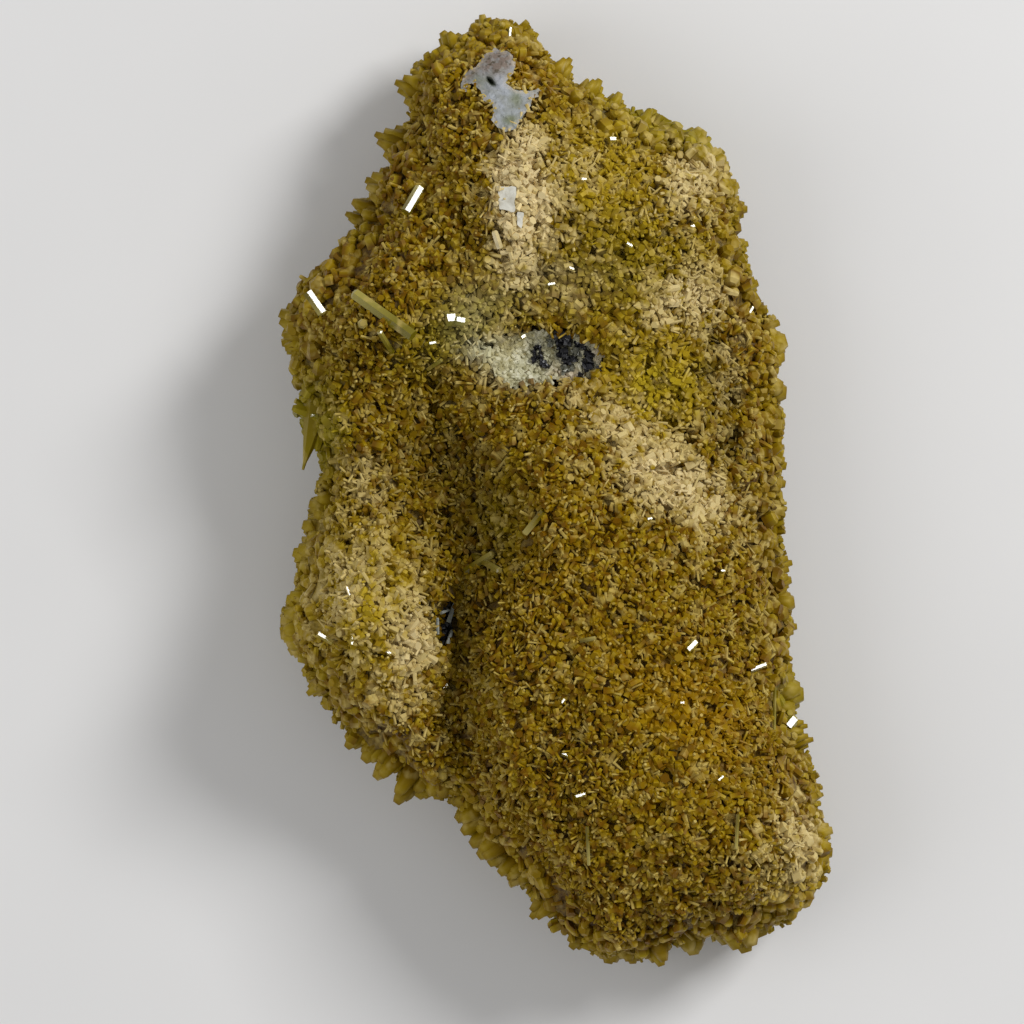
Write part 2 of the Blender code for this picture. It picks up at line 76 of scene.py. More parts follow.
# Swellings and hollows of the face: x, y, half-length, half-width, bearing in degrees, rise.
RELIEF = (
    (8.5, -22, 25, 14, -62, 6),
    (0.5, -1, 8, 5, -62, 3),
    (7, 30.5, 12, 10, 0, 3.5),
    (-4, 30, 9, 3.6, 88, 1.3),
    (15, 31, 4.5, 4, 0, 1.5),
    (-20, 16.5, 9, 7, 35, 3.5),
    (-21, -13, 11, 6, 80, 5),
    (-11.5, 1.5, 10, 6, -62, -6.5),
    (-9.8, -14, 8, 3, -88, -6),
    (-10.5, -25, 9, 3, -72, -4),
    (-12, 10, 8, 4, -25, -2),
    (17.5, 10, 8, 2.4, -80, -3),
    (11, 6, 8, 3.5, -35, -2),
    (24, -36, 5, 5, 0, 3),
    (-7.5, 47, 6, 6, 0, -2),
    (-1, 13.8, 6.5, 3.4, -10, -3.6),
    (-11.2, -13.2, 3.4, 2, 80, -1.5),
)

# Where the rock breaks through the crust, clockwise: the middle hollow, then the pit on the left.
HOLLOW = (
    (-7.1, 13.9), (-6.2, 15.7), (-3.8, 16.3), (-1.2, 16.6), (1.9, 16.2), (4.3, 14.9),
    (4.8, 12.8), (3.5, 11.4), (0.4, 11.6), (-2.3, 10.9), (-4.9, 10.7), (-6.4, 11.9),
)
PIT = (
    (-13.1, -12.8), (-12.6, -11.5), (-11.6, -11), (-10.4, -11.5), (-10, -13.2),
    (-10.4, -15.3), (-11.3, -16.9), (-12.3, -16.5), (-12.9, -14.7),
)
# The flat patch of pale mineral near the narrow end.
PATCH = (
    (-7.6, 45.2), (-6.4, 46), (-5.2, 45.7), (-4.5, 45.3), (-4.3, 44), (-4.5, 43.3), (-5, 42.8),
    (-5.2, 42.2), (-4.5, 41.7), (-3.9, 41.5), (-2.7, 41.5), (-1.9, 41.8), (-1.6, 41.4), (-1.8, 40.8),
    (-2.6, 40.7), (-2.7, 39.9), (-3.2, 39.2), (-3.7, 38.4), (-4.4, 37.4), (-5.4, 37.1), (-6.2, 37.6),
    (-6.8, 38.4), (-6.5, 39.5), (-6.7, 40), (-7.6, 40.4), (-7.9, 41.5), (-8.8, 42.2), (-9.3, 42.2),
    (-9.2, 41.3), (-9.8, 41.6), (-10.1, 42.2), (-9.7, 42.9), (-9.4, 43.6), (-8.4, 44),
)

# Colour zones: x, y, half-length, half-width, bearing in degrees, strength.
DUSTY = (
    (-4.2, 30.4, 7.8, 2.7, 88, 1.3), (0.9, 28.8, 9, 4, 80, 0.3), (14, 31.9, 4.4, 3.2, 40, 0.65),
    (12.9, 19.9, 4.4, 3, 20, 0.65), (3.5, 9.4, 6.5, 2.6, -40, 0.4), (13.1, 0.3, 7, 3.6, -38, 0.68),
    (17, 12, 8, 2.6, -80, 0.3), (-21.6, -10.5, 6.4, 5, 70, 0.42), (-14.8, -15, 5, 2.1, 85, 0.65),
    (25.2, -36.6, 5.5, 4.5, 80, 0.5), (-19.5, 0.5, 3, 4, 0, 0.25), (-6, 13, 3, 3, 0, 0.4),
    (8, 2.5, 6, 4, -38, 0.25), (-17, -22, 4, 6, 40, 0.25),
)
GREENISH = (
    (-10, 17, 6.5, 3.5, 30, 0.7), (10.3, 11, 3.5, 2.5, 0, 0.3), (8, 23, 9, 5, 0, 0.35),
    (13, 38, 9, 3, -30, 0.5), (-25, 7, 3, 6, 0, 0.7), (-5.5, -3.5, 2.5, 5, 0, 0.4),
    (24, -22.6, 1.6, 2.6, 0, 0.9),
)
STONY = (
    (-5.8, 13.6, 3.6, 1.8, -15, 0.9), (-8.6, 18.6, 3.4, 2.6, 40, 0.22), (-0.5, 21.6, 6, 2.2, 0, 0.15),
)
AMBER = ((13.4, -22.5, 9, 4.5, -40, 0.8), (0, -8, 5, 5, 0, 0.3), (-3, 43.5, 2, 2, 0, 0.6))
LIGHT = ((4.5, 32.5, 6, 7.5, 0, 0.7), (10, 11, 5, 5, 0, 1.2), (-20.6, -11, 6, 7, 0, 1))
# SHADED is painted shade: darker in the valley, channel and crease, in the small pits and on the right rim.
SHADED = (
    (-11.5, 1.5, 9, 5.5, -62, 1), (-9.8, -16, 10, 2.6, -88, 0.7), (-6.5, -8, 6, 2.4, -80, 0.35),
    (17, 8, 8, 2, -80, 0.5), (-21, 20, 5, 5, 0, 0.15), (-10.5, 27, 5, 3, 60, 0.2),
    (16.5, 15.6, 1.2, 0.8, 60, 1), (15, 12, 1, 0.7, 0, 0.9), (18.7, 9.4, 1.3, 0.7, -60, 1),
    (18, 4.7, 1.2, 0.7, -70, 1), (-7, 26.3, 0.9, 0.35, 60, 1), (22.5, -10, 2, 12, 0, 0.25),
)
# Small deep pits in the right-hand crease and beside the pale ridge.
DENTS = (
    (16.5, 15.6, 1.2, 0.9, 60, -1.3), (15, 12, 1, 0.8, 0, -1), (18.7, 9.4, 1.3, 0.8, -60, -1.2),
    (18, 4.7, 1.2, 0.8, -70, -1.2), (-7, 26.3, 0.9, 0.4, 60, -1),
)


def closed_curve(corners, count):
    """count points spaced along a smooth closed curve through the corners."""
    corners = np.array(corners)
    places = np.arange(count) * len(corners) / count
    start = places.astype(int)
    t = (places - start)[:, None]
    before, here, after, beyond = (corners[(start + k) % len(corners)] for k in (-1, 0, 1, 2))
    bend = 2.0 * here + (after - before) * t
    bend += (2.0 * before - 5.0 * here + 4.0 * after - beyond) * t**2
    bend += (3.0 * here - before - 3.0 * after + beyond) * t**3
    return bend / 2.0


EDGE = closed_curve(OUTLINE, EDGE_STEPS)
PLACES_AT_A_TIME = 4000


def off_lines(plan, starts, along):
    """From each line to each x, y: vectors from its start and its nearest point, and the distance."""
    to_place = plan[:, None, :2] - starts
    share = np.clip((to_place * along).sum(axis=2) / (along**2).sum(axis=1), 0.0, 1.0)
    away = to_place - along * share[..., None]
    return to_place, away, np.linalg.norm(away, axis=2)


def depth_inside(plan, corners=EDGE):
    """How far each x, y is from a closed outline: more than 0 inside it, less than 0 outside."""
    corners = np.array(corners)
    along = np.roll(corners, -1, axis=0) - corners
    slope = along[:, 0] / np.where(along[:, 1] == 0.0, 1.0, along[:, 1])
    depth = np.empty(len(plan))
    for start in range(0, len(plan), PLACES_AT_A_TIME):
        some = slice(start, start + PLACES_AT_A_TIME)
        to_place, _, distance = off_lines(plan[some], corners, along)
        nearest = distance.min(axis=1)
        crossed = (to_place[..., 1] < 0.0) != (to_place[..., 1] < along[:, 1])
        ahead = to_place[..., 0] < slope * to_place[..., 1]
        inside = (crossed & ahead).sum(axis=1) % 2 == 1
        depth[some] = np.where(inside, nearest, -nearest)
    return depth


def swell(plan, features):
    """The sum of rounded swellings at each x, y."""
    total = np.zeros(len(plan))
    for x, y, length, width, bearing, rise in features:
        turn = math.radians(bearing)
        dx, dy = plan[:, 0] - x, plan[:, 1] - y
        along = dx * math.cos(turn) + dy * math.sin(turn)
        across = dy * math.cos(turn) - dx * math.sin(turn)
        total += rise * np.exp(-((along / length) ** 2) - (across / width) ** 2)
    return total


def face_height(plan):
    """The face's height: a plateau with the relief on it, rounded off towards the edge."""
    inward = np.clip(depth_inside(plan) / EDGE_ROUND, 0.0, 1.0)
    lift = np.sqrt(1.0 - (1.0 - inward) ** 2)
    return RIM_HEIGHT + (PLATEAU + swell(plan, RELIEF) - RIM_HEIGHT) * lift


def waves(points, step, shift=0.0):
    """Noise between about -1 and 1, with features about step apart; a shift gives another one."""
    offset = Vector((shift, shift * 0.7, 0.0))
    return np.array([noise.noise(Vector(point) / step + offset) for point in points])


def level(plan, height=0.0):
    """The points at x, y and one height."""
    return np.column_stack([plan[:, :2], np.full(len(plan), height)])


def lumps(points):
    """How far rounded clusters, and smaller ones on them, stand above the even surface."""
    return sum(rise * waves(points, step) for step, rise in LUMPS)


def clusters(points):
    """The smallest clusters of crystals, the gaps between them and the small deep pits."""
    gaps = np.clip(-GAP_STEEPNESS * waves(points, GAP_STEP, 6.0) - GAP_START, 0.0, 1.0)
    return CLUSTER_RISE * waves(points, CLUSTER_STEP, 2.0) - GAP_DEPTH * gaps + swell(points, DENTS)


def unit(vectors):
    return vectors / np.linalg.norm(vectors, axis=-1, keepdims=True)


def with_slopes(height, places, step):
    """(heights, vectors of the slopes along x and y) of height(places)."""
    heights = height(places)
    slopes = [(height(places + axis) - heights) / step for axis in np.eye(2, places.shape[1]) * step]
    return heights, np.stack([*slopes, np.zeros(len(places))], axis=1)


def even_face(plan):
    """(points, normals) of the face without its lumps."""
    heights, slopes = with_slopes(face_height, plan, FACE_SLOPE_STEP)
    return np.column_stack([plan, heights]), unit(UP - slopes)


def lumpy_face(plan):
    """(points, normals) of the face with its lumps; the normals make more of the small ones."""
    points, normals = even_face(plan)
    rise, tilt = with_slopes(lambda p: lumps(p) + clusters(p), points, LUMP_SLOPE_STEP)
    return points + normals * rise[:, None], unit(normals - tilt * CLUSTER_TILT)


def edge_frame(turns):
    """(points, outward directions) of the outline at shares of the way round."""
    places = turns % 1.0 * EDGE_STEPS
    start = places.astype(int)
    here, after = (EDGE[(start + k) % EDGE_STEPS] for k in (0, 1))
    points = here + (after - here) * (places - start)[:, None]
    along = EDGE[(start + 2) % EDGE_STEPS] - EDGE[start - 1]
    return points, unit(np.stack([-along[:, 1], along[:, 0]], axis=1))


def side_points(turns, heights):
    """(points, normals) of the crust's side, which turns in under the widest level."""
    plan, outward = edge_frame(turns)
    below = np.clip((RIM_HEIGHT - heights) / RIM_HEIGHT, 0.0, None)
    moved = plan + outward * (lumps(level(plan)) - UNDERCUT * below**2)[:, None]
    return np.column_stack([moved, heights]), np.column_stack([outward, -SIDE_TILT * below])


def lip_height(plan):
    """The level at which the crust ends and bare rock begins."""
    return np.maximum(LIP_LEAST, LIP_HEIGHT + LIP_WANDER * waves(level(plan), LIP_STEP))


def grid_places(corners, spacing, margin, jitter, chance):
    """x, y on a grid of equal triangles inside an outline by the margin, each moved a little."""
    row_step = spacing * math.sqrt(3.0) / 2.0
    low, high = np.min(corners, axis=0), np.max(corners, axis=0)
    rows = np.arange(int((high[1] - low[1]) / row_step) + 1)
    columns = np.arange(int((high[0] - low[0]) / spacing) + 1)
    row, column = np.meshgrid(rows, columns, indexing="ij")
    x = low[0] + (column + 0.5 * (row % 2)) * spacing
    y = low[1] + row * row_step
    plan = np.stack([x.ravel(), y.ravel()], axis=1)
    plan += chance.uniform(-jitter, jitter, plan.shape)
    return plan[depth_inside(plan, corners) > margin]


def dense_outline(corners, step):
    """Points about step apart along a closed outline of straight lines."""
    corners = np.array(corners)
    points = []
    for here, after in zip(corners, np.roll(corners, -1, axis=0)):
        count = max(1, round(np.linalg.norm(after - here) / step))
        points.append(here + (after - here) * (np.arange(count) / count)[:, None])
    return np.concatenate(points)


def add_object(name, data):
    obj = bpy.data.objects.new(name, data)
    bpy.context.scene.collection.objects.link(obj)
    return obj


def mesh_object(name, points, faces, marks=None):
    """A mesh object from points and arrays of triangles or quads; a mark has a value per point."""
    data = bpy.data.meshes.new(name)
    data.vertices.add(len(points))
    data.vertices.foreach_set("co", (np.asarray(points) * MM).astype(np.float32).ravel())
    corners = np.concatenate([part.ravel() for part in faces]).astype(np.int32)
    sizes = np.concatenate([np.full(len(part), part.shape[1]) for part in faces])
    data.loops.add(len(corners))
    data.loops.foreach_set("vertex_index", corners)
    data.polygons.add(len(sizes))
    data.polygons.foreach_set("loop_start", (np.cumsum(sizes) - sizes).astype(np.int32))
    data.update(calc_edges=True)
    for label, values in (marks or {}).items():
        layer = data.attributes.new(label, "FLOAT", "POINT")
        layer.data.foreach_set("value", np.asarray(values, np.float32))
    data.shade_flat()
    return add_object(name, data)


def triangles_over(plan, rim_count):
    """The triangles over points whose first rim_count are the boundary, in order."""
    rim = list(range(rim_count))
    _, _, faces, *_ = geometry.delaunay_2d_cdt([Vector(p[:2]) for p in plan], [], [rim], 1, 1e-6)
    return np.array(faces)


def ring_walls(count, rings):
    """Quads that join rings of count points each."""
    here = np.arange(count)
    after = (here + 1) % count
    walls = []
    for upper in range(0, count * (rings - 1), count):
        lower = upper + count
        walls.append(np.stack([upper + here, upper + after, lower + after, lower + here], axis=1))
    return np.concatenate(walls)


# A prism's bevel as a share of its width, and at most of its length. BEVEL_MARK is how far along
# the prism the bevel's lower edge is marked.
SIDES = 6
BEVEL = 0.2
BEVEL_MOST = 0.3
BEVEL_MARK = 0.93
NEARLY_UPRIGHT = 0.9


def across_and_beside(directions):
    """Two unit vectors at right angles to each direction and to one another."""
    leant = np.abs(directions[:, 2:]) < NEARLY_UPRIGHT
    across = unit(np.cross(directions, np.where(leant, UP, (1.0, 0.0, 0.0))))
    return across, np.cross(directions, across)


def prisms(crystals, bevelled):
    """(points, quads, marks) of hexagonal prisms with flat ends.

    The mark "along" runs from 0 at a prism's root to 1 at its tip.
    """
    lengths, widths, tapers = crystals["lengths"], crystals["widths"], crystals["tapers"]
    count = len(lengths)
    across, beside = across_and_beside(crystals["directions"])
    angles = crystals["spins"][:, None] + np.arange(SIDES) * math.tau / SIDES
    spokes = np.cos(angles)[..., None] * across[:, None] + np.sin(angles)[..., None] * beside[:, None]
    bevel = np.minimum(BEVEL * widths, BEVEL_MOST * lengths)
    levels = [(np.zeros(count), np.ones(count), 0.0), (lengths, tapers, 1.0)]
    if bevelled:
        levels[1:] = [(lengths - bevel, tapers, BEVEL_MARK), (lengths, tapers * (1.0 - 2.0 * BEVEL), 1.0)]
    rings = []
    for height, share, _ in levels:
        middle = crystals["roots"] + crystals["directions"] * height[:, None]
        rings.append(middle[:, None] + spokes * (widths * share / 2.0)[:, None, None])
    points = np.stack(rings, axis=1).reshape(-1, 3)
    top = SIDES * (len(levels) - 1)
    top_quads = np.array([[0, 1, 2, 3], [0, 3, 4, 5]]) + top
    foot_quads = np.array([[3, 2, 1, 0], [5, 4, 3, 0]])
    quads = np.concatenate([ring_walls(SIDES, len(levels)), top_quads, foot_quads])
    per_prism = SIDES * len(levels)
    quads = (np.arange(count)[:, None, None] * per_prism + quads).reshape(-1, 4)
    marks = {label: np.repeat(values, per_prism) for label, values in crystals["marks"].items()}
    marks["along"] = np.tile(np.repeat([mark for _, _, mark in levels], SIDES), count)
    return points, quads, marks


ZONE_RAGGED = 1.6
ZONE_STEP = 3.0


def zone(plan, features, ragged=ZONE_RAGGED):
    """How strongly each x, y belongs to a colour zone, from 0 to 1, with a ragged edge."""
    places = level(plan)
    shift = np.stack([waves(places, ZONE_STEP, 5.0), waves(places, ZONE_STEP, 9.0)], axis=1) * ragged
    return np.clip(swell(plan[:, :2] + shift, features), 0.0, 1.0)


# Below SIDE_LEVEL all is side, and above FACE_LEVEL all is face.
SIDE_LEVEL = 5.0
FACE_LEVEL = 14.0
SIDE_GREEN = 0.35


def zone_marks(points):
    """The colour zones at each point; the rim and the sides are greener, with less dust."""
    face = np.clip((points[:, 2] - SIDE_LEVEL) / (FACE_LEVEL - SIDE_LEVEL), 0.0, 1.0)
    return {
        "dust": zone(points, DUSTY) * face,
        "green": np.clip(zone(points, GREENISH) + SIDE_GREEN * (1.0 - face), 0.0, 1.0),
        "stone": zone(points, STONY),
        # The shade mark carries painted shade.
        "shade": zone(points, SHADED),
        "amber": zone(points, AMBER),
        "light": zone(points, LIGHT),
    }


# Kinds of small crystal: how far apart they stand, how wide they are, how far they reach out of the
# crust, how many degrees they lean, and how much dust and painted highlight lie on their upper parts.
Kind = namedtuple("Kind", "spacing width reach lean dusted")
LOW_CRYSTALS = Kind(0.68, (0.50, 0.95), (0.15, 0.65), (30.0, 85.0), 0.15)
HIGH_CRYSTALS = Kind(0.70, (0.22, 0.40), (0.45, 1.30), (35.0, 86.0), 1.0)
RING_CRYSTALS = Kind(0.72, (0.45, 1.00), (0.30, 1.20), (25.0, 85.0), 0.5)
SIDE_CRYSTALS = Kind(0.82, (0.45, 0.95), (0.30, 1.35), (10.0, 70.0), 0.3)
BIG_CRYSTALS = Kind(1.45, (1.1, 2.0), (0.00, 0.85), (5.0, 50.0), 0.1)
GRAINS = Kind(0.48, (0.35, 0.75), (0.05, 0.40), (10.0, 80.0), 0.0)
PATCH_RIM = Kind(0.45, (0.22, 0.45), (0.05, 0.45), (30.0, 85.0), 1.0)
ROOT_DEPTH = 0.7
TAPERS = (0.6, 1.0)
DUST_CHANCE = (0.6, 1.3)
SIZE_STEP = 9.0
SIZE_WANDER = 0.4
# How far a crystal may stand from its place in a row, as a share of the spacing.
JITTER = 0.45
SLOPE_SHIFT = 0.4
# Rings of crystals on the rounded edge: the angle from one to the next, how many there are, and the
# least share of a ring's inset that its places keep.
RING_ANGLE = 0.0675
RING_COUNT = 10
RING_LEAST = 0.8


def face_places(kind, chance):
    """x, y of crystals over the flatter part of the face, with more of them where it is steep."""
    inner = EDGE_ROUND * (1.0 - math.cos(RING_ANGLE * (RING_COUNT - 0.5)))
    plan = grid_places(EDGE, kind.spacing, inner, kind.spacing * JITTER, chance)
    _, normals = even_face(plan)
    extra = plan[chance.uniform(0.0, 1.0, len(plan)) < 1.0 / normals[:, 2] - 1.0]
    return np.concatenate([plan, extra + chance.uniform(-SLOPE_SHIFT, SLOPE_SHIFT, extra.shape)])


def around_edge(kind, chance):
    """Shares of the way round the outline, about the kind's spacing apart."""
    length = np.linalg.norm(np.roll(EDGE, -1, axis=0) - EDGE, axis=1).sum()
    count = int(length / kind.spacing)
    return (np.arange(count) + chance.uniform(-JITTER, JITTER, count)) / count


def ring_places(kind, chance):
    """x, y of crystals in rings down the steep outer part of the face."""
    step = RING_ANGLE * kind.spacing / RING_CRYSTALS.spacing
    plans = []
    for ring in np.arange(0.0, RING_ANGLE * RING_COUNT, step):
        turns = around_edge(kind, chance)
        angle = np.maximum(ring + chance.uniform(-0.5, 0.5, len(turns)) * step, 0.0)
        inset = EDGE_ROUND * (1.0 - np.cos(angle))
        points, outward = edge_frame(turns)
        plan = points - outward * inset[:, None]
        plans.append(plan[depth_inside(plan) > inset * RING_LEAST - 1e-3])
    return np.concatenate(plans)


def side_places(kind, chance):
    """(points, normals) of crystals on the crust's side, down to its lip."""
    points, normals = [], []
    for height in np.arange(RIM_HEIGHT, LIP_LEAST, -kind.spacing):
        turns = around_edge(kind, chance)
        heights = height + chance.uniform(-JITTER, JITTER, len(turns)) * kind.spacing
        ring, outward = side_points(turns, heights)
        keep = heights > lip_height(ring) + LIP_CLEAR
        points.append(ring[keep])
        normals.append(outward[keep])
    return np.concatenate(points), unit(np.concatenate(normals))


def leaning(normals, degrees, chance):
    """Directions that lean away from the normals, any way round, by an angle in the range."""
    count = len(normals)
    across, beside = across_and_beside(unit(normals))
    turn = chance.uniform(0.0, math.tau, count)[:, None]
    lean = np.radians(chance.uniform(*degrees, count))[:, None]
    return unit(normals) * np.cos(lean) + (across * np.cos(turn) + beside * np.sin(turn)) * np.sin(lean)


def grown(points, normals, kind, chance):
    """One crystal of the kind at each point."""
    count = len(points)
    directions = leaning(normals, kind.lean, chance)
    marks = zone_marks(points)
    marks["chance"] = chance.uniform(0.0, 1.0, count)
    marks["dusted"] = kind.dusted * chance.uniform(0.0, 1.0, count)
    marks["dust"] = np.clip(marks["dust"] * chance.uniform(*DUST_CHANCE, count), 0.0, 1.0)
    wander = 1.0 + SIZE_WANDER * waves(points, SIZE_STEP, 4.0)
    return {
        "roots": points - directions * ROOT_DEPTH,
        "directions": directions,
        "lengths": ROOT_DEPTH + chance.uniform(*kind.reach, count),
        "widths": chance.uniform(*kind.width, count) * wander,
        "tapers": chance.uniform(*TAPERS, count),
        "spins": chance.uniform(0.0, math.tau, count),
        "marks": marks,
    }


def grown_upright(plan, heights, kind, chance):
    """One crystal of the kind at each place of level ground."""
    return grown(np.column_stack([plan, heights]), np.tile(UP, (len(plan), 1)), kind, chance)


def picked(crystals, keep):
    chosen = {label: values[keep] for label, values in crystals.items() if label != "marks"}
    chosen["marks"] = {label: values[keep] for label, values in crystals["marks"].items()}
    return chosen


def between(roots, tips, widths, ends, chance, dusted=0.0):
    """Crystals from roots to tips, given the widths of their feet and of their ends."""
    count = len(roots)
    marks = zone_marks(roots)
    marks["chance"] = chance.uniform(0.2, 0.8, count)
    marks["dusted"] = chance.uniform(0.0, dusted, count)
    return {
        "roots": roots,
        "directions": unit(tips - roots),
        "lengths": np.linalg.norm(tips - roots, axis=1),
        "widths": widths,
        "tapers": ends / widths,
        "spins": chance.uniform(0.0, math.tau, count),
        "marks": marks,
    }


# Teeth of the specimen's outline: tip x, y, then the widths of the foot and of the end.
TEETH = (
    (-7.8, 49.8, 3, 0.8), (-3.8, 48.6, 2.2, 1), (-12, 48, 2.4, 0.9), (-16.9, 42.7, 3.6, 0.8),
    (-19, 37.3, 3.6, 0.8), (-20, 32.5, 3.4, 0.9), (-21.4, 30.2, 1.6, 0.8), (-22.1, 29, 1.8, 0.6),
    (-29, 18.6, 4, 1.2), (-28.8, 15.4, 3.2, 1), (-27.6, -6.5, 2.8, 1.2), (-28.9, -13.6, 4, 1.2),
    (-25.2, 0.6, 2, 1.1), (-25.9, -1.4, 2, 1.1), (-26.6, -3.6, 2.4, 1.2), (-28.3, -11.4, 2.2, 1.1),
    (-28.9, -15.2, 2.2, 1.2), (-28, -17, 2.2, 1.1), (-26.1, -21.4, 2.2, 0.7), (-22, -27, 2.4, 1),
    (-20.2, -28.4, 2.2, 1.2), (-19, -30.2, 1.9, 1), (-16.8, -32.8, 2.2, 1.1), (-14.6, -32.2, 2.4, 1.2),
    (-12.4, -32.4, 2.6, 1.3), (-11, -32.9, 2.2, 1.2), (-10.5, -34.6, 1.8, 1.1), (-9.9, -35.9, 1.9, 1.1),
    (-9, -37.2, 1.9, 1.1), (-8.2, -38.4, 2, 1.1), (-7.1, -39.2, 1.7, 1), (-6, -40.2, 1.9, 1),
    (-5, -41, 1.7, 1), (-2.7, -44.8, 2.6, 0.8), (1.5, -48, 2.6, 1), (5.4, -49.6, 2.6, 1.2),
    (8, -49.6, 2, 1), (11, -49.8, 2.4, 1), (14.4, -48.7, 2, 1.4), (19.9, -48.4, 3.8, 1.6),
    (23.1, -45.4, 2.4, 1.2), (24.8, -44.9, 2.4, 1.2), (27.7, -41.5, 2.8, 1), (28.9, -38, 3.2, 1.2),
    (28.9, -35.6, 2.6, 1), (27.3, -31.4, 2.4, 1), (25.8, -28, 2.2, 0.8), (1.5, 45.2, 2.4, 0.7),
    (4.6, 43, 2.4, 0.8), (6.7, 41.6, 2.2, 0.8), (10.3, 39.9, 2.6, 0.8), (15.3, 37.8, 3, 1.6),
    (17.4, 35.6, 2.4, 1), (19.1, 31.9, 2.4, 0.9), (20, 29.4, 2.6, 0.9), (20.1, 25.8, 1.8, 0.7),
    (21.1, 21.7, 2.4, 0.9), (24.1, 15.7, 2.6, 1.7), (23.9, 13.9, 2, 1.2), (24.1, 10.2, 3, 1.7),
    (23.9, 7.3, 2.4, 1.4), (24.1, 2.5, 3, 1), (24, 0.6, 2.2, 0.9), (23.9, -2.2, 2.4, 1),
    (24.7, -7.6, 3, 0.8), (24.6, -9.4, 2.2, 0.9), (24.9, -11.7, 2.4, 1.5), (25.2, -14.3, 2.6, 0.8),
    (24.3, -17.3, 2, 0.9), (24.7, -18.9, 2.2, 0.9), (25.9, -21.4, 3.4, 1.8), (26.3, -24.7, 2.4, 0.6),
    (26.9, -26.1, 2.8, 0.6),
)
TOOTH_ROOT = 1.4
TOOTH_FULLNESS = 1.3
TOOTH_LEAST = 0.8
TOOTH_FLARE = (0.3, 1.6)
TOOTH_LEVELS = 0.8
# The lower crystals beside a tooth: how far aside, as a share of half its width, and how much of its
# reach. They lie up to BESIDE_DROP over or under it.
BESIDE_TOOTH = ((-0.35, 0.80), (0.40, 0.75), (-0.85, 0.40), (0.85, 0.45))
BESIDE_DROP = 1.6


def nearest_edge(tips):
    """The nearest point of the outline to each tip."""
    _, away, distance = off_lines(tips, EDGE, np.roll(EDGE, -1, axis=0) - EDGE)
    return tips - away[np.arange(len(tips)), distance.argmin(axis=1)]


def teeth(chance):
    """The crystals that stand out in the outline, each with lower ones beside it."""
    x, y, widths, ends = np.array(TEETH).T
    tips, ends = np.column_stack([x, y]), ends * TOOTH_FULLNESS
    feet = nearest_edge(tips)
    reach = np.maximum(np.linalg.norm(feet - tips, axis=1), TOOTH_LEAST)
    inward = unit(feet - tips)
    beside = np.stack([-inward[:, 1], inward[:, 0]], axis=1)
    heights = RIM_HEIGHT + chance.uniform(-TOOTH_LEVELS, TOOTH_LEVELS, len(tips))
    flare = np.clip((widths - ends) / reach, *TOOTH_FLARE)
    roots, points, foot_widths = [], [], []
    for sideways, share in ((0.0, 1.0), *BESIDE_TOOTH):
        aside = beside * (sideways * widths * 0.5)[:, None]
        drop = 0.0 if share == 1.0 else chance.uniform(-BESIDE_DROP, BESIDE_DROP, len(tips))
        place_of_tip = tips + inward * (reach * (1.0 - share))[:, None] + aside
        place_of_root = tips + inward * (reach + TOOTH_ROOT)[:, None] + aside
        points.append(np.column_stack([place_of_tip, heights + drop]))
        roots.append(np.column_stack([place_of_root, heights + drop]))
        foot_widths.append(ends + flare * (reach * share + TOOTH_ROOT))
    roots, points, foot_widths = map(np.concatenate, (roots, points, foot_widths))
    ends = np.tile(ends, 1 + len(BESIDE_TOOTH))
    return between(roots, points, foot_widths, ends, chance, dusted=0.1)


def table_columns(table):
    """The first x, y of the rows, their second x, y, and an array for each number after those."""
    facts = np.array(table)
    return facts[:, 0:2], facts[:, 2:4], *facts[:, 4:].T


# Crystals that stand clear of the crust: root x, y, tip x, y, width, and how far the root and the
# tip are over the highest part of the face between them.
LAID_CRYSTALS = (
    (-14.9, 15.9, -21.1, 20.4, 1.4, -0.3, 0.8), (-17.1, 14.3, -18.4, 16.4, 0.7, 0.3, 0.8),
    (-20.3, 17, -20.1, 17.2, 1.15, -1.2, 1.4), (-13.4, 12.5, -11.9, 13.5, 0.45, 0.5, 1),
    (-9.4, -8.4, -6.6, -6.6, 0.9, 0.1, 0.8), (-8.6, -6.9, -5.9, -8.4, 0.8, 0.2, 0.9),
    (3.1, -34.8, 3.3, -38.9, 0.42, 0.5, 0.9), (18.7, -33.6, 18.5, -37.2, 0.42, 0.5, 0.9),
    (2.4, -15.6, 4, -15.3, 0.5, 0.6, 1), (-5.9, 25, -6.5, 26.8, 0.8, 0.4, 0.7),
    (-1.4, -2.2, -3.4, -4.6, 0.8, 0.2, 0.8), (22.7, -20.6, 22.6, -25.4, 0.4, 0.7, 0.7),
)
LAID_TAPER = 0.94
SUPPORTS = 7


def laid_crystals(chance):
    """The laid crystals, each over all of its supports and with an edge uppermost."""
    starts, ends, widths, root_rise, tip_rise = table_columns(LAID_CRYSTALS)
    share = np.linspace(0.0, 1.0, SUPPORTS)
    plans = starts[:, None] + (ends - starts)[:, None] * share[:, None]
    heights = lumpy_face(plans.reshape(-1, 2))[0][:, 2].reshape(-1, SUPPORTS)
    first, last = heights[:, :1], heights[:, -1:]
    lift = (heights - first - (last - first) * share).max(axis=1)
    roots = np.column_stack([starts, first[:, 0] + lift + root_rise])
    tips = np.column_stack([ends, last[:, 0] + lift + tip_rise])
    crystals = between(roots, tips, widths, widths * LAID_TAPER, chance, dusted=0.2)
    across, beside = across_and_beside(crystals["directions"])
    crystals["spins"] = np.arctan2(beside[:, 2], across[:, 2])
    return crystals


def under_laid(points):
    """Whether each place is under one of the laid crystals."""
    starts, ends, widths, *_ = table_columns(LAID_CRYSTALS)
    _, _, distance = off_lines(points, starts, ends - starts)
    return (distance < widths * 0.5).any(axis=1)


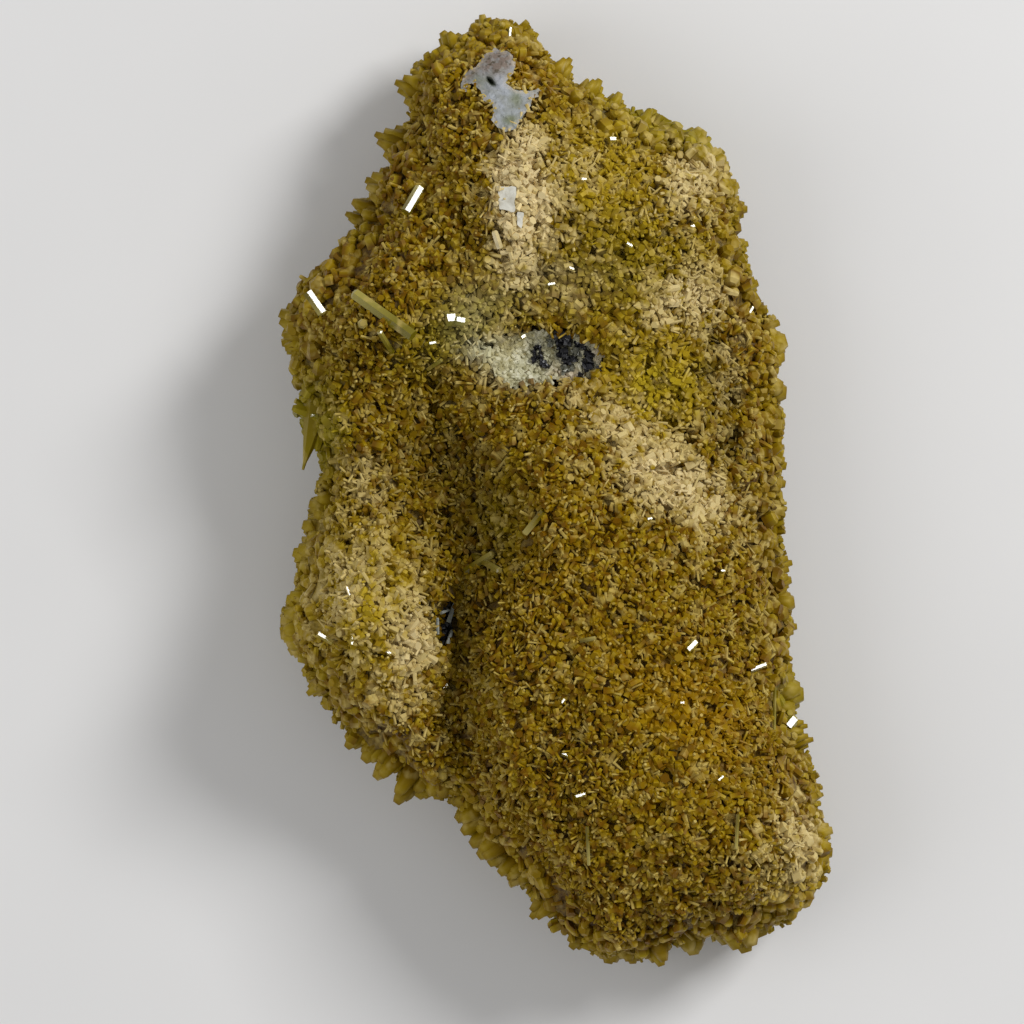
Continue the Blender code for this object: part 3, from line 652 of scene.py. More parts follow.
# The crystals that hang from the left edge: root x, y, tip x, y, and the widths of foot and end.
SPIKES = (
    (-24.5, 10, -26.5, 2.1, 3.9, 0.4), (-24.6, 7.6, -27.6, 8.6, 1.8, 1), (-24.4, 8, -25, 4, 2, 0.7),
)
SPIKE_LIFT = 3.0


def spikes(chance):
    *places, widths, ends = table_columns(SPIKES)
    roots, tips = (level(plan, RIM_HEIGHT + SPIKE_LIFT) for plan in places)
    return between(roots, tips, widths, ends, chance, dusted=0.3)


# Crystals with a face turned so that it mirrors the key light up to the viewer: the middle's x, y,
# then length, width, bearing in degrees, and rise over the face.
GLINTS = (
    (-14.9, 30.2, 3.4, 1.1, 60, 1.2), (-25.1, 19.4, 2.9, 1.1, -55, 2.1), (-11, 17.7, 1.2, 1.5, 5, 1),
    (-10, 17.5, 1.1, 1, -10, 1), (-24, -15.4, 1.9, 0.65, -30, 2.3), (13.9, -16.1, 1.5, 0.85, 45, 1.1),
    (20.9, -18.4, 2, 0.55, 20, 1.2), (2.4, -31.6, 1.2, 0.5, 15, 1.1), (0.9, -27.4, 1, 0.5, -20, 1.1),
    (-4.9, 47.8, 1.2, 0.45, 85, 1.2), (5.8, 36.4, 0.8, 0.7, 0, 0.9), (7.5, 25.3, 0.7, 0.45, -30, 1.1),
    (20.3, 18.8, 0.9, 0.4, 60, 1), (14, 27.3, 0.7, 0.5, 20, 1), (2.8, 32.1, 0.6, 0.4, 0, 1.1),
    (-27, 8.1, 0.9, 0.9, 30, 2.4), (-25.2, 7.7, 0.8, 0.5, -10, 2.6), (-3.5, 15.9, 0.6, 0.55, 30, 0.9),
    (17.2, -8.4, 0.5, 0.35, 0, 1.2), (24.5, -24.3, 1.5, 1.3, 50, 1.7),
    (16.9, -29.8, 0.8, 0.35, 40, 1.2), (9.6, -3, 0.6, 0.35, 10, 1.2), (-12.9, 15.2, 0.8, 0.45, 10, 1),
    (-11.6, -20.4, 0.7, 0.45, 30, 1), (0.6, -21.8, 0.6, 0.35, 60, 1.2), (-0.6, 21.3, 0.9, 0.4, 10, 1),
    (1.5, 22.9, 0.6, 0.4, -20, 1), (-17.4, -16.9, 0.5, 0.4, 0, 1), (-24.2, -18.2, 0.5, 0.35, 30, 1.4),
    (12.9, -22, 0.5, 0.4, 0, 1), (-21.2, -15.6, 0.9, 0.4, 80, 1.5), (-21.6, -10.6, 1.1, 0.35, -70, 1.5),
)
# Where the key light is, in metres.
KEY_LIGHT = (0.50, 0.34, 0.52)


def glints(chance):
    """The glinting crystals, each lying in the plane that mirrors the key light upwards."""
    x, y, lengths, widths, bearings, rise = np.array(GLINTS).T
    mirror = unit(unit(np.array(KEY_LIGHT)) + UP)
    turn = np.radians(bearings)
    heading = np.stack([np.cos(turn), np.sin(turn)], axis=1)
    climb = -(heading * mirror[:2]).sum(axis=1) / mirror[2]
    axes = unit(np.column_stack([heading, climb]))
    heights = lumpy_face(np.column_stack([x, y]))[0][:, 2] + rise
    points = np.column_stack([x, y, heights])
    half = axes * (lengths / 2.0)[:, None]
    crystals = between(points - half, points + half, widths, widths, chance)
    across, beside = across_and_beside(axes)
    crystals["spins"] = np.arctan2(beside @ mirror, across @ mirror) - math.pi / SIDES
    return crystals


# Where no crystals grow, and how far the crystals on the edges lap over each place.
BARE = ((HOLLOW, 0.0), (PIT, 0.25), (PATCH, 0.0))


def on_bare_ground(points):
    """Whether each place is in the hollow, the pit or the patch, past the crystals on the edges."""
    return np.any([depth_inside(points, outline) > lap for outline, lap in BARE], axis=0)


# The crust's own surface lies GROUND_SINK under the lumpy face, so that the crystals are rooted in
# it, and drops away under what is bare.
GROUND_SINK = 0.35
GROUND_GRID = 0.8
GROUND_MARGIN = 0.7
GROUND_JITTER = 0.2
GROUND_INSETS = (0.0, 0.08, 0.3, 0.65, 1.1, 1.7, 2.4)
GROUND_LEVELS = (8.0, 6.8, 5.5)
GROUND_RIM = 360
GROUND_SEED = 3
UNDER_INSET = 3.0
UNDER_RISE = 1.0
BARE_DROPS = ((HOLLOW, 2.6), (PIT, 3.4))
DROP_EDGE = 0.4


def crust_ground():
    """The crust's own surface between its crystals, closed underneath."""
    turns = np.arange(GROUND_RIM) / GROUND_RIM
    edge, outward = edge_frame(turns)
    plans = [edge - outward * inset for inset in GROUND_INSETS[::-1]]
    margin = GROUND_INSETS[-1] + GROUND_GRID * GROUND_MARGIN
    chance = np.random.default_rng(GROUND_SEED)
    inner = grid_places(EDGE, GROUND_GRID, margin, GROUND_JITTER, chance)
    top_plan = np.concatenate([plans[0], inner])
    points, normals = lumpy_face(top_plan)
    points = points - normals * (GROUND_SINK + bare_drop(top_plan))[:, None]
    lips = lip_height(edge)
    surfaces = [lumpy_face(plan) for plan in plans[1:]]
    surfaces += [side_points(turns, np.full(GROUND_RIM, height)) for height in GROUND_LEVELS]
    surfaces += [side_points(turns, lips + (GROUND_LEVELS[-1] - lips) * share) for share in (0.5, 0.0)]
    rings = [ring - normals * GROUND_SINK for ring, normals in surfaces]
    under = rings[-1].copy()
    under[:, :2] -= outward * UNDER_INSET
    under[:, 2] += UNDER_RISE
    rings.append(under)
    all_points = np.concatenate([points, *rings])
    lower = len(points) + np.arange(GROUND_RIM * len(rings))
    ring_index = np.concatenate([np.arange(GROUND_RIM), lower])
    faces = [triangles_over(top_plan, GROUND_RIM), ring_index[ring_walls(GROUND_RIM, len(rings) + 1)]]
    faces.append(triangles_over(plans[0], GROUND_RIM)[:, ::-1] + len(all_points) - GROUND_RIM)
    return mesh_object("crust_ground", all_points, faces, zone_marks(all_points))


def bare_drop(plan):
    """How far the crust's surface drops away under the bare rock."""
    drop = np.zeros(len(plan))
    for outline, depth in BARE_DROPS:
        drop = np.maximum(drop, depth * np.clip(depth_inside(plan, outline) / DROP_EDGE, 0.0, 1.0))
    return drop


RAGGED = 0.22
RAGGED_STEP = 0.7
SLAB_SEED = 5
SLAB_MARGIN = 0.6
SLAB_JITTER = 0.25


def slab(corners, step, depth, top):
    """(points, faces) of a closed slab over a ragged outline; top(plan) is its upper side's height."""
    rim = dense_outline(corners, step)
    ragged = [waves(level(rim), RAGGED_STEP, shift) for shift in (0.0, 7.0)]
    rim = rim + RAGGED * np.stack(ragged, axis=1)
    chance = np.random.default_rng(SLAB_SEED)
    inner = grid_places(rim, step, step * SLAB_MARGIN, step * SLAB_JITTER, chance)
    plan = np.concatenate([rim, inner])
    upper = np.column_stack([plan, top(plan)])
    lower = upper[: len(rim)] - (0.0, 0.0, depth)
    ring_index = np.concatenate([np.arange(len(rim)), len(upper) + np.arange(len(rim))])
    walls = ring_index[ring_walls(len(rim), 2)]
    under = triangles_over(lower, len(rim))[:, ::-1] + len(upper)
    return np.concatenate([upper, lower]), [triangles_over(plan, len(rim)), walls, under]


def grainy(plan, grains):
    """Rounded grains with creases between them, for each size and rise."""
    places = level(plan)
    return sum(rise * (1.0 - 2.0 * np.abs(waves(places, size))) for size, rise in grains)


STONE_STEP = 0.3
STONE_SINK = {"hollow": 0.5, "pit": 1.3}
STONE_DEPTH = 2.5
STONE_GRAINS = ((0.9, 0.3), (0.4, 0.12))
# The hollow's stone is yellower at one end and pinker at the other.
STONE_WARM = ((-5.3, 15.3, 2.4, 1.3, 20, 0.9), (-6.4, 12.2, 1.6, 1, 0, 0.5))
STONE_PINK = ((1.4, 11.8, 1.8, 1, -20, 1), (4.3, 14.3, 1, 0.8, 0, 0.8))
STONE_RAGGED = 0.6
GRAIN_JITTER = 0.2
# Grains stand on the stone where the masses of ore, as swellings 1 high, are lower than this.
ORE_CLEAR = 0.4


def stone_height(plan, site):
    return face_height(plan) - STONE_SINK[site] + grainy(plan, STONE_GRAINS)


def stone_marks(points):
    tints = (("warm", STONE_WARM), ("pink", STONE_PINK))
    return {label: zone(points, features, STONE_RAGGED) for label, features in tints}


def stone_piece(site, corners):
    points, faces = slab(corners, STONE_STEP, STONE_DEPTH, lambda plan: stone_height(plan, site))
    return mesh_object(f"{site}_stone", points, faces, stone_marks(points))


def on_stone(site, corners, chance):
    """Grains that cover the bare stone between the masses of ore."""
    plan = grid_places(corners, GRAINS.spacing, 0.0, GRAIN_JITTER, chance)
    plan = plan[swell(plan, [(*mass, 1.0) for mass in ORE[site]]) < ORE_CLEAR]
    return grown_upright(plan, stone_height(plan, site), GRAINS, chance)


def hollow_grains(chance):
    """The pale grains of the hollow."""
    crystals = on_stone("hollow", HOLLOW, chance)
    crystals["marks"] = stone_marks(crystals["roots"])
    return crystals


# The broken rock under the crust: how far its sides are inside the crust's edge at each height, and
# the heights of its rings.
ROCK_CORNERS = 34
ROCK_RIM = 420
ROCK_SIDES = ((4.2, 0.0), (2.4, 1.7), (3.2, 4.2), (4.2, 7.0), (4.2, 9.0))
ROCK_LEVELS = (9.0, 8.0, 7.2, 6.5, 5.8, 5.2, 4.6, 4.0, 3.4, 2.9, 2.4, 1.9, 1.4, 0.9, 0.4, 0.0)
# Sizes of the flat faces of broken rock, each with how flat it is, and how far they tilt.
ROCK_FACES = ((5.0, 0.75), (2.0, 0.6))
ROCK_TILT = 1.3
TILT_STEP = 0.37
ROCK_SEED = 9
FOOT_GRID = 1.1
FOOT_MARGIN = 1.5
FOOT_JITTER = 0.3
# Everything under FOOT_LEVEL is pressed flatter.
FOOT_LEVEL = 1.5
FOOT_FLATNESS = 0.6


def broken(points, outward):
    """The points drawn on to tilted flat faces of several sizes, as rock breaks."""
    moved = points.copy()
    for size, flatness in ROCK_FACES:
        centres = size * np.array([noise.voronoi(Vector(point) / size)[1][0] for point in moved])
        tilt = np.stack([waves(centres, TILT_STEP * size, shift) for shift in (3.0, 8.0, 13.0)], axis=1)
        normals = unit(outward + ROCK_TILT * tilt)
        moved -= flatness * ((moved - centres) * normals).sum(axis=1, keepdims=True) * normals
    return moved


def matrix_rock():
    """The rock under the crust, with broken sides and a rough foot that stands on its lowest points."""
    corners, outward = edge_frame(np.arange(ROCK_CORNERS) / ROCK_CORNERS)
    insets, heights = zip(*ROCK_SIDES)
    facing = level(edge_frame(np.arange(ROCK_RIM) / ROCK_RIM)[1])
    plans, rings = [], []
    for height in ROCK_LEVELS:
        plans.append(closed_curve(corners - outward * np.interp(height, heights, insets), ROCK_RIM))
        rings.append(broken(level(plans[-1], height), facing))
    chance = np.random.default_rng(ROCK_SEED)
    inner = grid_places(plans[-1], FOOT_GRID, FOOT_MARGIN, FOOT_GRID * FOOT_JITTER, chance)
    foot = broken(level(inner), np.array((0.0, 0.0, -1.0)))
    foot[:, :2] = inner
    points = np.concatenate([*rings, foot])
    points[:, 2] *= np.where(points[:, 2] < FOOT_LEVEL, FOOT_FLATNESS, 1.0)
    points[:, 2] = np.maximum(points[:, 2], 0.0)
    last = ROCK_RIM * (len(rings) - 1)
    faces = [ring_walls(ROCK_RIM, len(rings)), triangles_over(plans[0], ROCK_RIM)]
    faces.append(triangles_over(np.concatenate([plans[-1], inner]), ROCK_RIM)[:, ::-1] + last)
    return mesh_object("matrix_rock", points, faces)


PATCH_RISE = 0.9
PATCH_DEPTH = 1.6
PATCH_STEP = 0.22
PATCH_GRAINS = ((0.9, 0.14), (0.45, 0.09))
PATCH_EDGE = 0.5
PATCH_HOLE = (-6.85, 42.4, 0.75, 0.32, -48.0, 1.0)
HOLE_DEPTH = 1.3
PATCH_RIM_SHIFT = 0.22
BROWN_RAGGED = 0.5
GREEN_RAGGED = 0.3
PATCH_BROWN = (
    (-6.3, 44.6, 2.2, 1.5, 5, 1.3), (-9.2, 43.4, 0.9, 0.9, 40, 1.1), (-9.6, 42.2, 0.6, 0.9, 0, 0.6),
)
PATCH_GREEN = (
    (-4.8, 38.3, 0.8, 0.6, 0, 1.1), (-4.2, 40.6, 0.6, 0.9, 0, 1), (-8, 42.6, 0.9, 0.7, 0, 0.5),
)


def patch_piece():
    """The thin flat mineral near the narrow end, with a small hole in it."""
    def top(plan):
        hole = HOLE_DEPTH * swell(plan, (PATCH_HOLE,)) ** 2
        return face_height(plan) + PATCH_RISE + grainy(plan, PATCH_GRAINS) - hole

    points, faces = slab(PATCH, PATCH_STEP, PATCH_DEPTH, top)
    marks = {
        "hole": swell(points[:, :2], (PATCH_HOLE,)),
        "brown": zone(points, PATCH_BROWN, BROWN_RAGGED),
        "green": zone(points, PATCH_GREEN, GREEN_RAGGED),
        "edge": 1.0 - np.clip(depth_inside(points[:, :2], PATCH) / PATCH_EDGE, 0.0, 1.0),
    }
    return mesh_object("patch_of_pale_mineral", points, faces, marks)


def patch_rim(chance):
    """Small crystals of the crust that grow over the edge of the pale patch."""
    plan = dense_outline(PATCH, PATCH_RIM.spacing)
    plan = plan + chance.uniform(-PATCH_RIM_SHIFT, PATCH_RIM_SHIFT, plan.shape)
    return grown_upright(plan, face_height(plan) + PATCH_RISE, PATCH_RIM, chance)


# Chips of white mineral on the pale ridge, clockwise.
CHIPS = {
    "white_chip": ((-6.2, 31.4), (-4.2, 31.3), (-4.4, 28.7), (-5.9, 29)),
    "slim_white_chip": ((-4.1, 28.7), (-3.5, 28.6), (-3.6, 27.1), (-4.1, 27.4)),
}
CHIP_STEP = 0.3
CHIP_DEPTH = 1.5
CHIP_RISE = 1.0
CHIP_GRAINS = ((1.1, 0.05),)


def chip(name):
    def top(plan):
        return face_height(plan) + CHIP_RISE + grainy(plan, CHIP_GRAINS)

    return mesh_object(name, *slab(CHIPS[name], CHIP_STEP, CHIP_DEPTH, top))


# Masses of dark ore: x, y, half-length, half-width and bearing in degrees.
ORE = {
    "hollow": (
        (0.6, 16, 1.25, 0.6, -25), (0.5, 14.6, 1.35, 0.55, 90), (1.3, 13.5, 0.8, 0.4, 5),
        (3.3, 13.6, 1.4, 0.65, 85), (4.6, 12.6, 0.45, 0.35, -30), (2.3, 11.4, 0.85, 0.22, 65),
        (2.5, 15, 0.8, 0.24, -25), (-2.4, 13.9, 0.7, 0.22, 95), (-1.65, 13.6, 0.85, 0.28, -68),
        (-2, 14.8, 0.4, 0.2, 0), (-1.1, 12.9, 0.5, 0.18, -20),
    ),
    "pit": (
        (-11.4, -11.8, 0.95, 0.45, 55), (-11.7, -13.1, 0.85, 0.4, 90), (-11.4, -14.2, 0.7, 0.45, 0),
        (-11.7, -15.3, 0.9, 0.32, 82), (-10.4, -13.3, 0.4, 0.3, 60),
    ),
}
GREY_ORE = ((-0.75, 15.6, 0.8, 0.35, 85), (1.1, 12.5, 0.7, 0.45, 0), (2.1, 14.2, 0.65, 0.55, 0))
# Each mass is ORE_PARTS blocks. BLOCK_SIZE is a block's size as a share of BLOCK_LENGTH of the
# mass's length, of the mass's width with BLOCK_MARGIN, and of BLOCK_HEIGHT. BLOCK_TURN and
# BLOCK_WEAR are how far its axes and its corners stray, and BLOCK_TOP is how much it narrows.
ORE_PARTS = 14
ORE_RISE = (0.15, 0.55)
ORE_SPREAD = 0.75
BLOCK_SIZE = (0.3, 0.6)
BLOCK_LENGTH = 0.6
BLOCK_MARGIN = 0.08
BLOCK_HEIGHT = 0.8
BLOCK_TURN = 0.25
BLOCK_WEAR = 0.04
BLOCK_TOP = 0.75
CUBE = np.array([(x, y, z) for z in (-1.0, 1.0) for x, y in ((-1, -1), (1, -1), (1, 1), (-1, 1))])
CUBE_FACES = ((0, 3, 2, 1), (4, 5, 6, 7), (0, 1, 5, 4), (1, 2, 6, 5), (2, 3, 7, 6), (3, 0, 4, 7))


def ore_piece(name, masses, site, chance):
    """Angular blocks of ore, several to a mass."""
    points = []
    for x, y, length, width, bearing in masses:
        turn = math.radians(bearing)
        along = np.array((math.cos(turn), math.sin(turn), 0.0))
        beside = np.array((-math.sin(turn), math.cos(turn), 0.0))
        for _ in range(ORE_PARTS):
            u, v = chance.uniform(-ORE_SPREAD, ORE_SPREAD, 2)
            centre = np.array((x, y, 0.0)) + along * length * u + beside * width * v
            centre[2] = stone_height(centre[None, :2], site)[0] + chance.uniform(*ORE_RISE)
            whole = (length * BLOCK_LENGTH, width + BLOCK_MARGIN, BLOCK_HEIGHT)
            size = chance.uniform(*BLOCK_SIZE, 3) * whole
            axes = np.stack([along, beside, UP]) + chance.normal(0.0, BLOCK_TURN, (3, 3))
            narrowed = CUBE * size * np.where(CUBE[:, 2:] > 0.0, BLOCK_TOP, 1.0)
            corners = narrowed + chance.normal(0.0, BLOCK_WEAR, CUBE.shape)
            points.append(centre + corners @ unit(axes))
    faces = (np.arange(len(points))[:, None, None] * len(CUBE) + CUBE_FACES).reshape(-1, 4)
    return mesh_object(name, np.concatenate(points), [faces])


# Grey needles in the pit: root x, y, tip x, y, width, and rise over the pit's floor.
NEEDLES = (
    (-11.3, -13.8, -10.5, -11.5, 0.55, 1.7), (-11.4, -16.1, -10.9, -14.6, 0.48, 1.6),
    (-12, -12.8, -11.2, -12.5, 0.34, 1.8), (-12.4, -15, -12.4, -13.3, 0.42, 1.7),
)
NEEDLE_TAPER = 0.8


def needles(chance):
    *places, widths, rise = table_columns(NEEDLES)
    roots, tips = (np.column_stack([plan, stone_height(plan, "pit") + rise]) for plan in places)
    return between(roots, tips, widths, widths * NEEDLE_TAPER, chance)


class Paint:
    """One material's nodes, with short ways to add the usual ones."""

    def __init__(self, name, roughness, ior=1.5):
        self.material = bpy.data.materials.new(name)
        self.material.use_nodes = True
        self.nodes = self.material.node_tree.nodes
        self.links = self.material.node_tree.links
        self.shader = self.nodes["Principled BSDF"]
        self.shader.inputs["Roughness"].default_value = roughness
        self.shader.inputs["IOR"].default_value = ior

    def put(self, socket, value):
        if isinstance(value, bpy.types.NodeSocket):
            self.links.new(value, socket)
        elif isinstance(value, tuple):
            socket.default_value = (*value, 1.0)
        else:
            socket.default_value = value

    def add(self, kind, inputs, **settings):
        """A new node of the kind, with its settings made and its inputs set or linked."""
        node = self.nodes.new(f"ShaderNode{kind}")
        for setting, value in settings.items():
            setattr(node, setting, value)
        for socket, value in inputs.items():
            self.put(node.inputs[socket], value)
        return node

    def mark(self, label):
        return self.add("Attribute", {}, attribute_name=label).outputs["Fac"]

    def noise(self, step, detail=2.0):
        """Noise whose features are about step millimetres apart."""
        place = self.add("TexCoord", {}).outputs["Object"]
        inputs = {"Vector": place, "Scale": 1.0 / (step * MM), "Detail": detail}
        return self.add("TexNoise", inputs).outputs["Fac"]

    def calc(self, operation, one, other):
        return self.add("Math", {0: one, 1: other}, operation=operation, use_clamp=True).outputs[0]

    def step(self, factor, low, high):
        """0 below low and 1 above high."""
        inputs = {"Value": factor, "From Min": low, "From Max": high}
        return self.add("MapRange", inputs).outputs["Result"]

    def mix(self, factor, one, other):
        return self.add("Mix", {0: factor, 6: one, 7: other}, data_type="RGBA").outputs[2]

    def cover(self, body, factor, share, colour):
        """The body with the colour laid over it: a share of it where the factor is 1."""
        return self.mix(self.calc("MULTIPLY", factor, share), body, colour)

    def ramp(self, factor, *stops):
        """Colours at places along the factor."""
        node = self.add("ValToRGB", {"Fac": factor})
        points = node.color_ramp.elements
        while len(points) < len(stops):
            points.new(0.5)
        for point, (place, colour) in zip(points, stops):
            point.position = place
            point.color = (*colour, 1.0)
        return node.outputs["Color"]

    def bump(self, height, distance):
        node = self.add("Bump", {"Height": height, "Distance": distance * MM})
        self.put(self.shader.inputs["Normal"], node.outputs["Normal"])

    def finish(self, colour):
        self.put(self.shader.inputs["Base Color"], colour)
        return self.material


# Colours of the crystals. Each takes its own from GOLD or PALE_GOLD, by chance.
GOLD = (
    (0.0, (0.2, 0.115, 0.0004)), (0.4, (0.27, 0.165, 0.0008)), (0.8, (0.34, 0.22, 0.0015)),
    (1.0, (0.38, 0.27, 0.01)),
)
PALE_GOLD = ((0.0, (0.26, 0.2, 0.02)), (1.0, (0.42, 0.36, 0.1)))
DEEP_GOLD = (0.15, 0.066, 0.0004)
PALE_FOOT = (0.16, 0.12, 0.004)
LIGHT_GOLD = (0.56, 0.41, 0.02)
OLIVE = (0.25, 0.24, 0.006)
AMBER_GOLD = (0.36, 0.19, 0.0005)
TAN = (0.49, 0.37, 0.10)
CREAM = (0.78, 0.64, 0.35)
STONE = (0.55, 0.54, 0.36)
# The colour of the painted shade in the shade zones.
PAINTED_SHADE = (0.03, 0.018, 0.001)
WARM_SHEEN = (1.0, 0.84, 0.36)
WHITE = (1.0, 1.0, 1.0)


def zoned(paint, body, lift=None):
    """The body colour with the specimen's zones over it.

    Tan patches of dust and painted highlight lie more where lift is high.
    """
    body = paint.cover(body, paint.mark("light"), 0.6, LIGHT_GOLD)
    body = paint.cover(body, paint.mark("green"), 0.7, OLIVE)
    body = paint.cover(body, paint.mark("amber"), 0.7, AMBER_GOLD)
    patches = paint.calc("MULTIPLY", paint.noise(1.7), 0.9)
    if lift is not None:
        patches = paint.calc("ADD", patches, paint.calc("MULTIPLY", lift, 0.30))
    patches = paint.calc("ADD", patches, paint.calc("MULTIPLY", paint.mark("dust"), 0.45))
    tan = paint.mix(paint.mark("dust"), TAN, CREAM)
    body = paint.cover(body, paint.step(patches, 0.52, 0.70), 0.9, tan)
    body = paint.mix(paint.mark("stone"), body, STONE)
    # Painted shade: the shade zones darken the colour.
    return paint.cover(body, paint.mark("shade"), 0.55, PAINTED_SHADE)


def crystal_material(name, roughness, ior, sheen, colours, foot):
    """Crystals of the colours, each by its own chance, with the foot's colour at their roots."""
    paint = Paint(name, roughness, ior)
    body = paint.ramp(paint.mark("chance"), *colours)
    along = paint.mark("along")
    # Darker towards the root: partly the crystals' own darker bases, partly painted shade where they crowd
    # together.
    body = paint.mix(paint.step(along, 0.25, 0.85), foot, body)
    # The tan band under each bevel is a painted highlight on the prism's top edge; the darker cap is
    # painted shade, as in a hollow end.
    cap = paint.step(along, BEVEL_MARK + 0.01, 0.99)
    edge = paint.calc("SUBTRACT", paint.step(along, 0.80, BEVEL_MARK), cap)
    body = paint.cover(body, edge, 0.2, TAN)
    body = paint.cover(body, cap, 0.3, DEEP_GOLD)
    paint.shader.inputs["Specular Tint"].default_value = (*sheen, 1.0)
    # The crystals' upper parts get more tan: dust and painted highlight.
    return paint.finish(zoned(paint, body, paint.calc("MULTIPLY", paint.mark("dusted"), along)))


def ground_material():
    paint = Paint("crust between crystals", 0.7)
    # Dark browns: partly the crust's own colour, partly painted shade in the gaps between crystals.
    body = paint.ramp(paint.noise(0.7), (0.35, (0.07, 0.030, 0.0004)), (0.65, (0.20, 0.115, 0.001)))
    paint.bump(paint.noise(0.5), 0.3)
    return paint.finish(zoned(paint, body))


ROCK_COLOURS = ((0.35, (0.22, 0.16, 0.09)), (0.5, (0.38, 0.33, 0.22)), (0.7, (0.54, 0.50, 0.37)))
RUST = (0.23, 0.115, 0.03)
ROCK_SPECKS = (0.09, 0.075, 0.05)


def rock_material():
    paint = Paint("broken rock", 0.85)
    body = paint.ramp(paint.noise(5.0, 5.0), *ROCK_COLOURS)
    body = paint.mix(paint.step(paint.noise(4.0, 5.0), 0.50, 0.66), body, RUST)
    body = paint.mix(paint.step(paint.noise(1.2, 3.0), 0.62, 0.70), body, ROCK_SPECKS)
    paint.bump(paint.noise(0.5, 4.0), 0.25)
    return paint.finish(body)


STONE_COLOURS = ((0.35, (0.34, 0.31, 0.16)), (0.5, (0.52, 0.50, 0.33)), (0.65, (0.68, 0.66, 0.50)))
YELLOW_STONE = (0.50, 0.42, 0.17)
PINK_STONE = (0.60, 0.46, 0.34)


def stone_material():
    paint = Paint("pale stone", 0.6)
    body = paint.ramp(paint.noise(0.9, 3.0), *STONE_COLOURS)
    body = paint.cover(body, paint.mark("warm"), 0.8, YELLOW_STONE)
    body = paint.cover(body, paint.mark("pink"), 0.7, PINK_STONE)
    paint.bump(paint.noise(0.25, 2.0), 0.08)
    return paint.finish(body)


PATCH_COLOURS = ((0.35, (0.25, 0.26, 0.24)), (0.55, (0.31, 0.33, 0.35)), (0.75, (0.38, 0.40, 0.44)))
PATCH_STAIN = (0.185, 0.14, 0.11)
PATCH_SPECKS = (0.06, 0.045, 0.02)
PATCH_MOSS = (0.15, 0.17, 0.075)
PATCH_BUFF = (0.48, 0.41, 0.30)
# Painted shade for the small hole.
PAINTED_HOLE_SHADE = (0.035, 0.045, 0.022)


def patch_material():
    """Blue-grey, stained brown and green in places, buff at its edge and dark with painted shade in its
    hole.
    """
    paint = Paint("pale blue-grey mineral", 0.55)
    body = paint.ramp(paint.noise(1.2, 3.0), *PATCH_COLOURS)
    speckle = paint.step(paint.noise(0.6), 0.4, 0.6)
    browned = paint.calc("MULTIPLY", paint.mark("brown"), paint.calc("ADD", speckle, 0.55))
    body = paint.mix(browned, body, PATCH_STAIN)
    body = paint.cover(body, browned, paint.step(paint.noise(0.45), 0.57, 0.63), PATCH_SPECKS)
    body = paint.cover(body, paint.mark("green"), 0.8, PATCH_MOSS)
    body = paint.cover(body, paint.mark("edge"), speckle, PATCH_BUFF)
    body = paint.mix(paint.step(paint.mark("hole"), 0.3, 0.7), body, PAINTED_HOLE_SHADE)
    paint.bump(paint.noise(0.3, 3.0), 0.1)
    return paint.finish(body)


def mottled(name, roughness, step, detail, *stops):
    """A material whose colour changes between the stops, in mottles about step apart."""
    paint = Paint(name, roughness)
    return paint.finish(paint.ramp(paint.noise(step, detail), *stops))


def pit_material():
    return mottled("dark pit stone", 0.6, 0.8, 2.0, (0.4, (0.02, 0.014, 0.004)), (0.65, (0.09, 0.08, 0.03)))


def chip_material():
    return mottled("white mineral", 0.4, 1.0, 3.0, (0.35, (0.55, 0.52, 0.42)), (0.6, (0.78, 0.76, 0.66)))


def ore_material(name, dark, light):
    return mottled(name, 0.3, 0.5, 3.0, (0.45, dark), (0.75, light))


def floor_material():
    return mottled("floor", 0.7, 30.0, 2.0, (0.3, (0.78, 0.775, 0.77)), (0.7, (0.80, 0.795, 0.79)))


# The camera looks straight down. A pixel of the photograph is PHOTO_SCALE millimetres, and the
# frame's origin is at PHOTO_ORIGIN in it.
PHOTO_SCALE = 0.1047
PHOTO_ORIGIN = (556.5, 490.0)
PHOTO_SIZE = 1024
LENS = 400.0
SENSOR = 36.0
CAMERA_REACH = 10000.0

# Lights: place and size in metres, power in watts. All of them face AIM.
LIGHTS = {"key": (KEY_LIGHT, 0.25, 4.4), "fill": ((-0.5, -0.1, 0.5), 0.5, 1.2)}
AIM = (0.0, 0.0, 0.01)
SKY_STRENGTH = 0.32
FLOOR_REACH = 4000.0
FLOOR_DROP = 0.1


def add_light(name, spot, size, power):
    data = bpy.data.lights.new(name, "AREA")
    data.size = size
    data.energy = power
    obj = add_object(name, data)
    obj.location = spot
    obj.rotation_euler = (Vector(AIM) - Vector(spot)).to_track_quat("-Z", "Y").to_euler()


def add_camera():
    data = bpy.data.cameras.new("camera")
    data.lens = LENS
    data.sensor_width = SENSOR
    data.clip_end = CAMERA_REACH * MM
    width = PHOTO_SIZE * PHOTO_SCALE * MM
    obj = add_object("camera", data)
    obj.location = (
        (PHOTO_SIZE / 2 - PHOTO_ORIGIN[0]) * PHOTO_SCALE * MM,
        (PHOTO_ORIGIN[1] - PHOTO_SIZE / 2) * PHOTO_SCALE * MM,
        RIM_HEIGHT * MM + width * LENS / SENSOR,
    )
    bpy.context.scene.camera = obj


